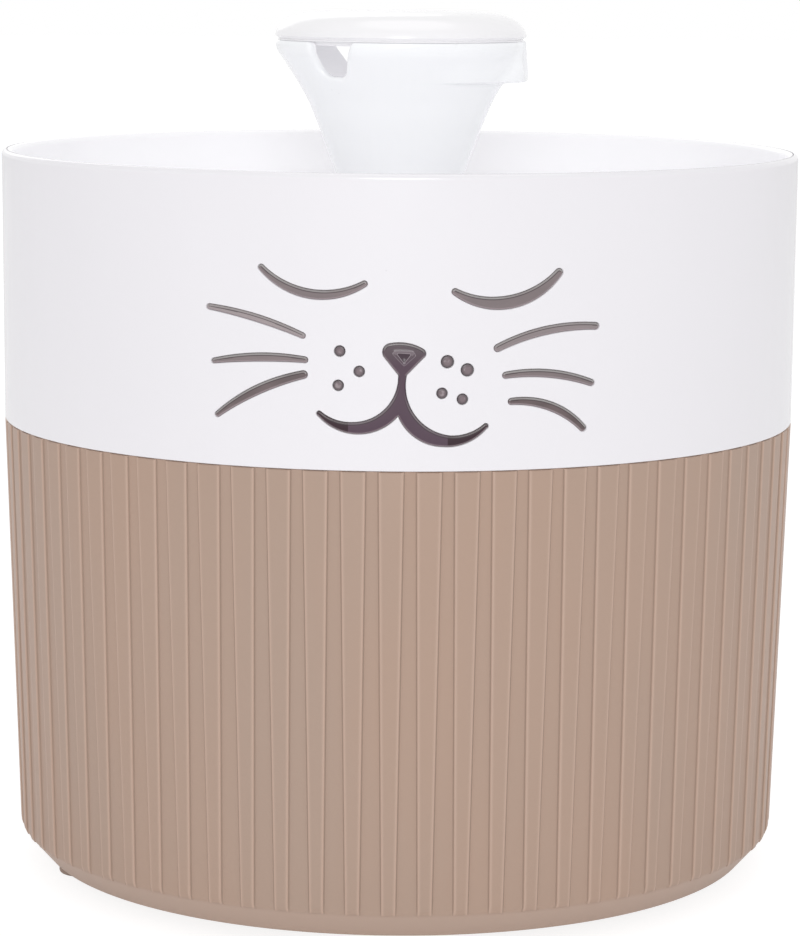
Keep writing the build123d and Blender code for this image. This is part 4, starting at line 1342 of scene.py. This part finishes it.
# ------------------------------------------------------------------ feet, pump
# The pads lie in turn on two reaches from the axis, a quarter turn apart from the first azimuth on
PAD_RADIUS = 5.5
PAD_REACHES = (79.0, 66.0)
PAD_AZIMUTH = -72


class FOUNTAIN_OT_feet(Operator):
    """Make the four rubber feet and finish the cable grommet"""

    bl_idname = "fountain.feet"
    bl_label = "Feet and grommet"

    def execute(self, context):
        pads = []
        outline = rounded([(0, 0, 0), (PAD_RADIUS, 0, 0.8), (PAD_RADIUS, FOOT_TOP, 0.2), (0, FOOT_TOP, 0)])
        points, faces = revolve(outline, range(0, 360, 6))
        for step, reach in enumerate(PAD_REACHES * 2):
            angle = radians(PAD_AZIMUTH + 90 * step)
            x, y = reach * sin(angle), -reach * cos(angle)
            pads.append(([(px + x, py + y, pz) for px, py, pz in points], faces))
        mesh = smoothed(as_mesh("rubber_feet", *joined(*pads)))
        piece("rubber_feet", mesh, "foot_rubber", "base", ["foot_pads"])
        dressed("cable_grommet", "grey_silicone")
        return {"FINISHED"}


class FOUNTAIN_OT_pump(Operator):
    """Finish the pump, its rotor and the riser tube"""

    bl_idname = "fountain.pump"
    bl_label = "Pump"

    def execute(self, context):
        black, rubbery = ("pump_plastic", "pump_black"), ("black_rubber", "black_rubber")
        coats = {
            "pump_housing": black, "volute_cover": black, "intake_cover": black, "pump_back_plate": black,
            "flow_slider": ("slider_plastic", "pump_grey"), "intake_foam": ("filter_foam", "foam_grey"),
            "impeller": ("rotor_plastic", "impeller_white"), "rotor_magnet": ("ferrite", "magnet"),
            "impeller_shaft": ("ceramic", "shaft_ceramic"), "shaft_bushes": rubbery,
            "stator_core": ("laminations", "core_steel"), "stator_coil": ("winding", "copper"),
            "pump_gland": rubbery, "suction_cups": rubbery,
            "riser_tube": ("milky_silicone", "clear_silicone"),
        }
        for node, (material, slot) in coats.items():
            dressed(node, material)
        return {"FINISHED"}


class FOUNTAIN_OT_finishes(Operator):
    """Make the materials"""

    bl_idname = "fountain.finishes"
    bl_label = "Finishes"

    def execute(self, context):
        s = settings()
        # The glows are painted light: emission standing in for light through the walls. white_bright and
        # white_lid are also painted a little paler than the body's white, as painted light on the tray, spout
        # and lid.
        moulded_white("white_gloss", tuple(s.body.colour), 0.17, inner_glow=0.11)
        moulded_white("white_bright", linear(250, 251, 253), 0.17, glow=0.08, inner_glow=0.19)
        moulded_white("white_lid", linear(250, 249, 251), 0.17, glow=0.03)
        moulded_white("white_satin", linear(236, 236, 238), 0.38)
        satin_taupe("satin_taupe", tuple(s.sleeve.colour))
        smoky_clear("smoky_clear", tuple(s.face.colour), tuple(s.face.mouth_colour))
        rubber("foot_rubber", linear(168, 148, 136))
        rubber("grey_silicone", linear(190, 190, 193), 0.45)
        rubber("black_rubber", linear(30, 30, 31))
        moulded("pump_plastic", linear(38, 38, 41), 0.5, 0.04)
        moulded("slider_plastic", linear(92, 93, 97), 0.35, 0.03)
        moulded("rotor_plastic", linear(222, 221, 216), 0.4, 0.03)
        moulded("ferrite", linear(66, 66, 69), 0.55, 0.08)
        moulded("ceramic", linear(237, 235, 228), 0.15, 0.01)
        sponge("filter_foam", linear(96, 97, 99))
        granules("carbon", linear(46, 46, 47))
        fleece("filter_wool", linear(238, 239, 239))
        banded("laminations", linear(158, 158, 161), 320, 0.35)
        banded("winding", linear(190, 118, 62), 420, 0.3)
        milky("milky_silicone", linear(221, 224, 226))
        return {"FINISHED"}


# ------------------------------------------------------------------ stage
LAMP_TARGET = Vector((0, 0, 0.1))


class FOUNTAIN_OT_stage(Operator):
    """Make the camera, the floor, the sky and the lamps"""

    bl_idname = "fountain.stage"
    bl_label = "Stage"

    def execute(self, context):
        s = settings().stage
        self.camera(s)
        self.floor(s)
        self.sky(s)
        self.lamp("front_lamp", (0.0, -2.6, 0.8), 1.1, s.front_power)
        self.lamp("top_lamp", (0.1, 0.2, 2.4), 1.8, s.top_power)
        self.lamp("rear_lamp", (-0.6, 2.4, 1.2), 1.5, s.rear_power)
        bpy.context.scene.view_settings.view_transform = "Standard"
        return {"FINISHED"}

    @staticmethod
    def camera(s):
        data = bpy.data.cameras.new("camera")
        data.lens = s.lens
        data.sensor_width = 36
        data.shift_x = s.shift
        made = scene_object("camera", data)
        pitch, roll = s.pitch, s.roll
        right, up = Vector((1, 0, 0)), Vector((0, sin(pitch), cos(pitch)))
        forward = Vector((0, cos(pitch), -sin(pitch)))
        turned_right = right * cos(roll) + up * sin(roll)
        turned_up = up * cos(roll) - right * sin(roll)
        axes = Matrix((turned_right, turned_up, -forward)).transposed().to_4x4()
        made.matrix_world = Matrix.Translation((0, -s.distance, s.height)) @ axes
        data.clip_start, data.clip_end = 0.02, 50
        bpy.context.scene.camera = made

    @staticmethod
    def floor(s):
        skin = Finish("floor_white", Roughness=0.9, Specular_IOR_Level=0.1, Emission_Color=(1.0, 1.0, 1.0),
                      Emission_Strength=s.floor_bounce)
        skin.material.cycles.emission_sampling = "NONE"
        cloudy = skin.blend(skin.noise(3, 2), linear(247, 247, 248), linear(250, 250, 251))
        skin.surface({"Base Color": cloudy})
        seen = skin.add("ShaderNodeLightPath", out="Is Camera Ray")
        glow = skin.add("ShaderNodeEmission", None, {"Color": (1.0, 1.0, 1.0), "Strength": s.floor_glow})
        plain = skin.add("ShaderNodeBsdfDiffuse", None, {"Color": linear(150, 150, 151)})
        lit = skin.add("ShaderNodeAddShader", None, {0: glow, 1: plain})
        shown = skin.add("ShaderNodeMixShader", None,
                         {0: seen, 1: Socket(skin, skin.shader.outputs[0]), 2: lit})
        output = next(n for n in skin.tree.nodes if n.type == "OUTPUT_MATERIAL")
        skin.feed(output.inputs["Surface"], shown)
        bm = bmesh.new()
        bmesh.ops.create_circle(bm, cap_ends=True, radius=9.0, segments=64)
        mesh = bpy.data.meshes.new("floor")
        bm.to_mesh(mesh)
        bm.free()
        mesh.materials.append(skin.material)
        scene_object("floor", mesh)

    @staticmethod
    def sky(s):
        world = bpy.data.worlds.new("sky")
        world.use_nodes = True
        bpy.context.scene.world = world
        nodes = Nodes(world.node_tree)
        path = nodes.place("ShaderNodeLightPath")
        camera, glossy, through = (Socket(nodes, path.outputs[name])
                                   for name in ("Is Camera Ray", "Is Glossy Ray", "Is Transmission Ray"))
        clear = nodes.math("MAXIMUM", nodes.math("MAXIMUM", camera, glossy), through)
        strength = s.sky_strength + clear * (1 - s.sky_strength)
        background = next(n for n in world.node_tree.nodes if n.type == "BACKGROUND")
        background.inputs["Color"].default_value = (1, 1, 1, 1)
        nodes.feed(background.inputs["Strength"], strength)

    @staticmethod
    def lamp(name, place, size, power):
        data = bpy.data.lights.new(name, "AREA")
        data.shape = "DISK"
        data.size = size
        data.energy = power
        made = scene_object(name, data)
        aim = LAMP_TARGET - Vector(place)
        made.matrix_world = Matrix.Translation(place) @ aim.to_track_quat("-Z", "Y").to_matrix().to_4x4()
        made.visible_camera = False


# ------------------------------------------------------------------ settings
def number(name, description, default, **rest):
    return FloatProperty(name=name, description=description, default=default, **rest)


def length(name, description, default):
    return number(name, description, default * MM, unit="LENGTH", subtype="DISTANCE", precision=5)


def tint(name, description, default):
    return FloatVectorProperty(name=name, description=description, default=default, subtype="COLOR",
                               size=3, min=0, max=1)


def watts(name, description, default):
    return number(name, description, default, min=0, unit="POWER")


class FountainBody(PropertyGroup):
    rim_round: length("Rim rounding", "Rounding of the rim's two edges", 1.1)
    colour: tint("Body colour", "Colour of the white plastic", linear(246, 244, 248))


class FountainSleeve(PropertyGroup):
    rib_count: IntProperty(name="Ribs", description="Number of ribs round the sleeve", default=72, min=3)
    rib_top_width: length("Rib width at the top", "Width of a rib under the sleeve line", 5.5)
    rib_foot_width: length("Rib width at the foot", "Width of a rib above the bevel", 3.2)
    rib_depth: length("Rib depth", "How far a rib stands out", 0.5)
    rib_phase: number("First rib", "Turn of the first rib from the front", radians(-0.84),
                      subtype="ANGLE", unit="ROTATION")
    colour: tint("Sleeve colour", "Colour of the taupe plastic", linear(184, 160, 145))


class FountainFace(PropertyGroup):
    recess: length("Recess", "How far the strokes lie behind the wall's face", 0.1)
    edge_round: length("Edge rounding", "Rounding of the strokes' edges", 0.35)
    crown: length("Crown", "How far the middle of a stroke swells", 0.08)
    colour: tint("Window colour", "Colour of the smoky plastic", linear(113, 98, 99))
    mouth_colour: tint("Mouth colour", "Colour of the plastic where it is dark behind it", linear(85, 65, 79))


class FountainSpout(PropertyGroup):
    lip: length("Lip", "Rounding of the outlets' edges", 1.5)


class FountainStage(PropertyGroup):
    lens: number("Lens", "Focal length", 126.716, unit="CAMERA")
    shift: number("Shift", "Sideways shift of the picture", 0.0025)
    distance: length("Distance", "Camera to the fountain's axis", 793.45)
    height: length("Height", "Camera over the floor", 216.57)
    pitch: number("Pitch", "Tilt down", 0.152, subtype="ANGLE")
    roll: number("Roll", "Turn about the view axis", 0.0075, subtype="ANGLE")
    front_power: watts("Front", "Lamp in front, a little above the camera", 13.5)
    top_power: watts("Top", "Lamp overhead", 7)
    rear_power: watts("Rear", "Lamp behind", 3)
    sky_strength: number("Sky", "Light from all sides", 0.66, min=0)
    floor_glow: number("Floor glow", "How white the floor is to the camera", 0.84, min=0)
    floor_bounce: number("Floor bounce", "Light that the floor adds to the object", 0.12, min=0)


class FountainSettings(PropertyGroup):
    body: PointerProperty(type=FountainBody)
    sleeve: PointerProperty(type=FountainSleeve)
    face: PointerProperty(type=FountainFace)
    spout: PointerProperty(type=FountainSpout)
    stage: PointerProperty(type=FountainStage)


OPERATORS = [FOUNTAIN_OT_finishes, FOUNTAIN_OT_tank, FOUNTAIN_OT_sleeve, FOUNTAIN_OT_face, FOUNTAIN_OT_feet,
             FOUNTAIN_OT_tray, FOUNTAIN_OT_filter, FOUNTAIN_OT_spout, FOUNTAIN_OT_lid, FOUNTAIN_OT_pump,
             FOUNTAIN_OT_stage]


class FOUNTAIN_PT_build(Panel):
    bl_idname = "FOUNTAIN_PT_build"
    bl_label = "Pet Water Fountain"
    bl_space_type = "VIEW_3D"
    bl_region_type = "UI"
    bl_category = "Fountain"

    def draw(self, context):
        for group in ("body", "sleeve", "face", "spout", "stage"):
            box = self.layout.box()
            values = getattr(context.scene.fountain, group)
            for name in values.__annotations__:
                box.prop(values, name)
        for operator in OPERATORS:
            self.layout.operator(operator.bl_idname)


CLASSES = [FountainBody, FountainSleeve, FountainFace, FountainSpout, FountainStage, FountainSettings,
           *OPERATORS, FOUNTAIN_PT_build]


def register():
    for made in CLASSES:
        bpy.utils.register_class(made)
    bpy.types.Scene.fountain = PointerProperty(type=FountainSettings)


def unregister():
    del bpy.types.Scene.fountain
    for made in reversed(CLASSES):
        bpy.utils.unregister_class(made)


def main():
    register()
    for operator in OPERATORS:
        getattr(bpy.ops.fountain, operator.bl_idname.split(".")[1])()


if __name__ == "__main__":
    main()
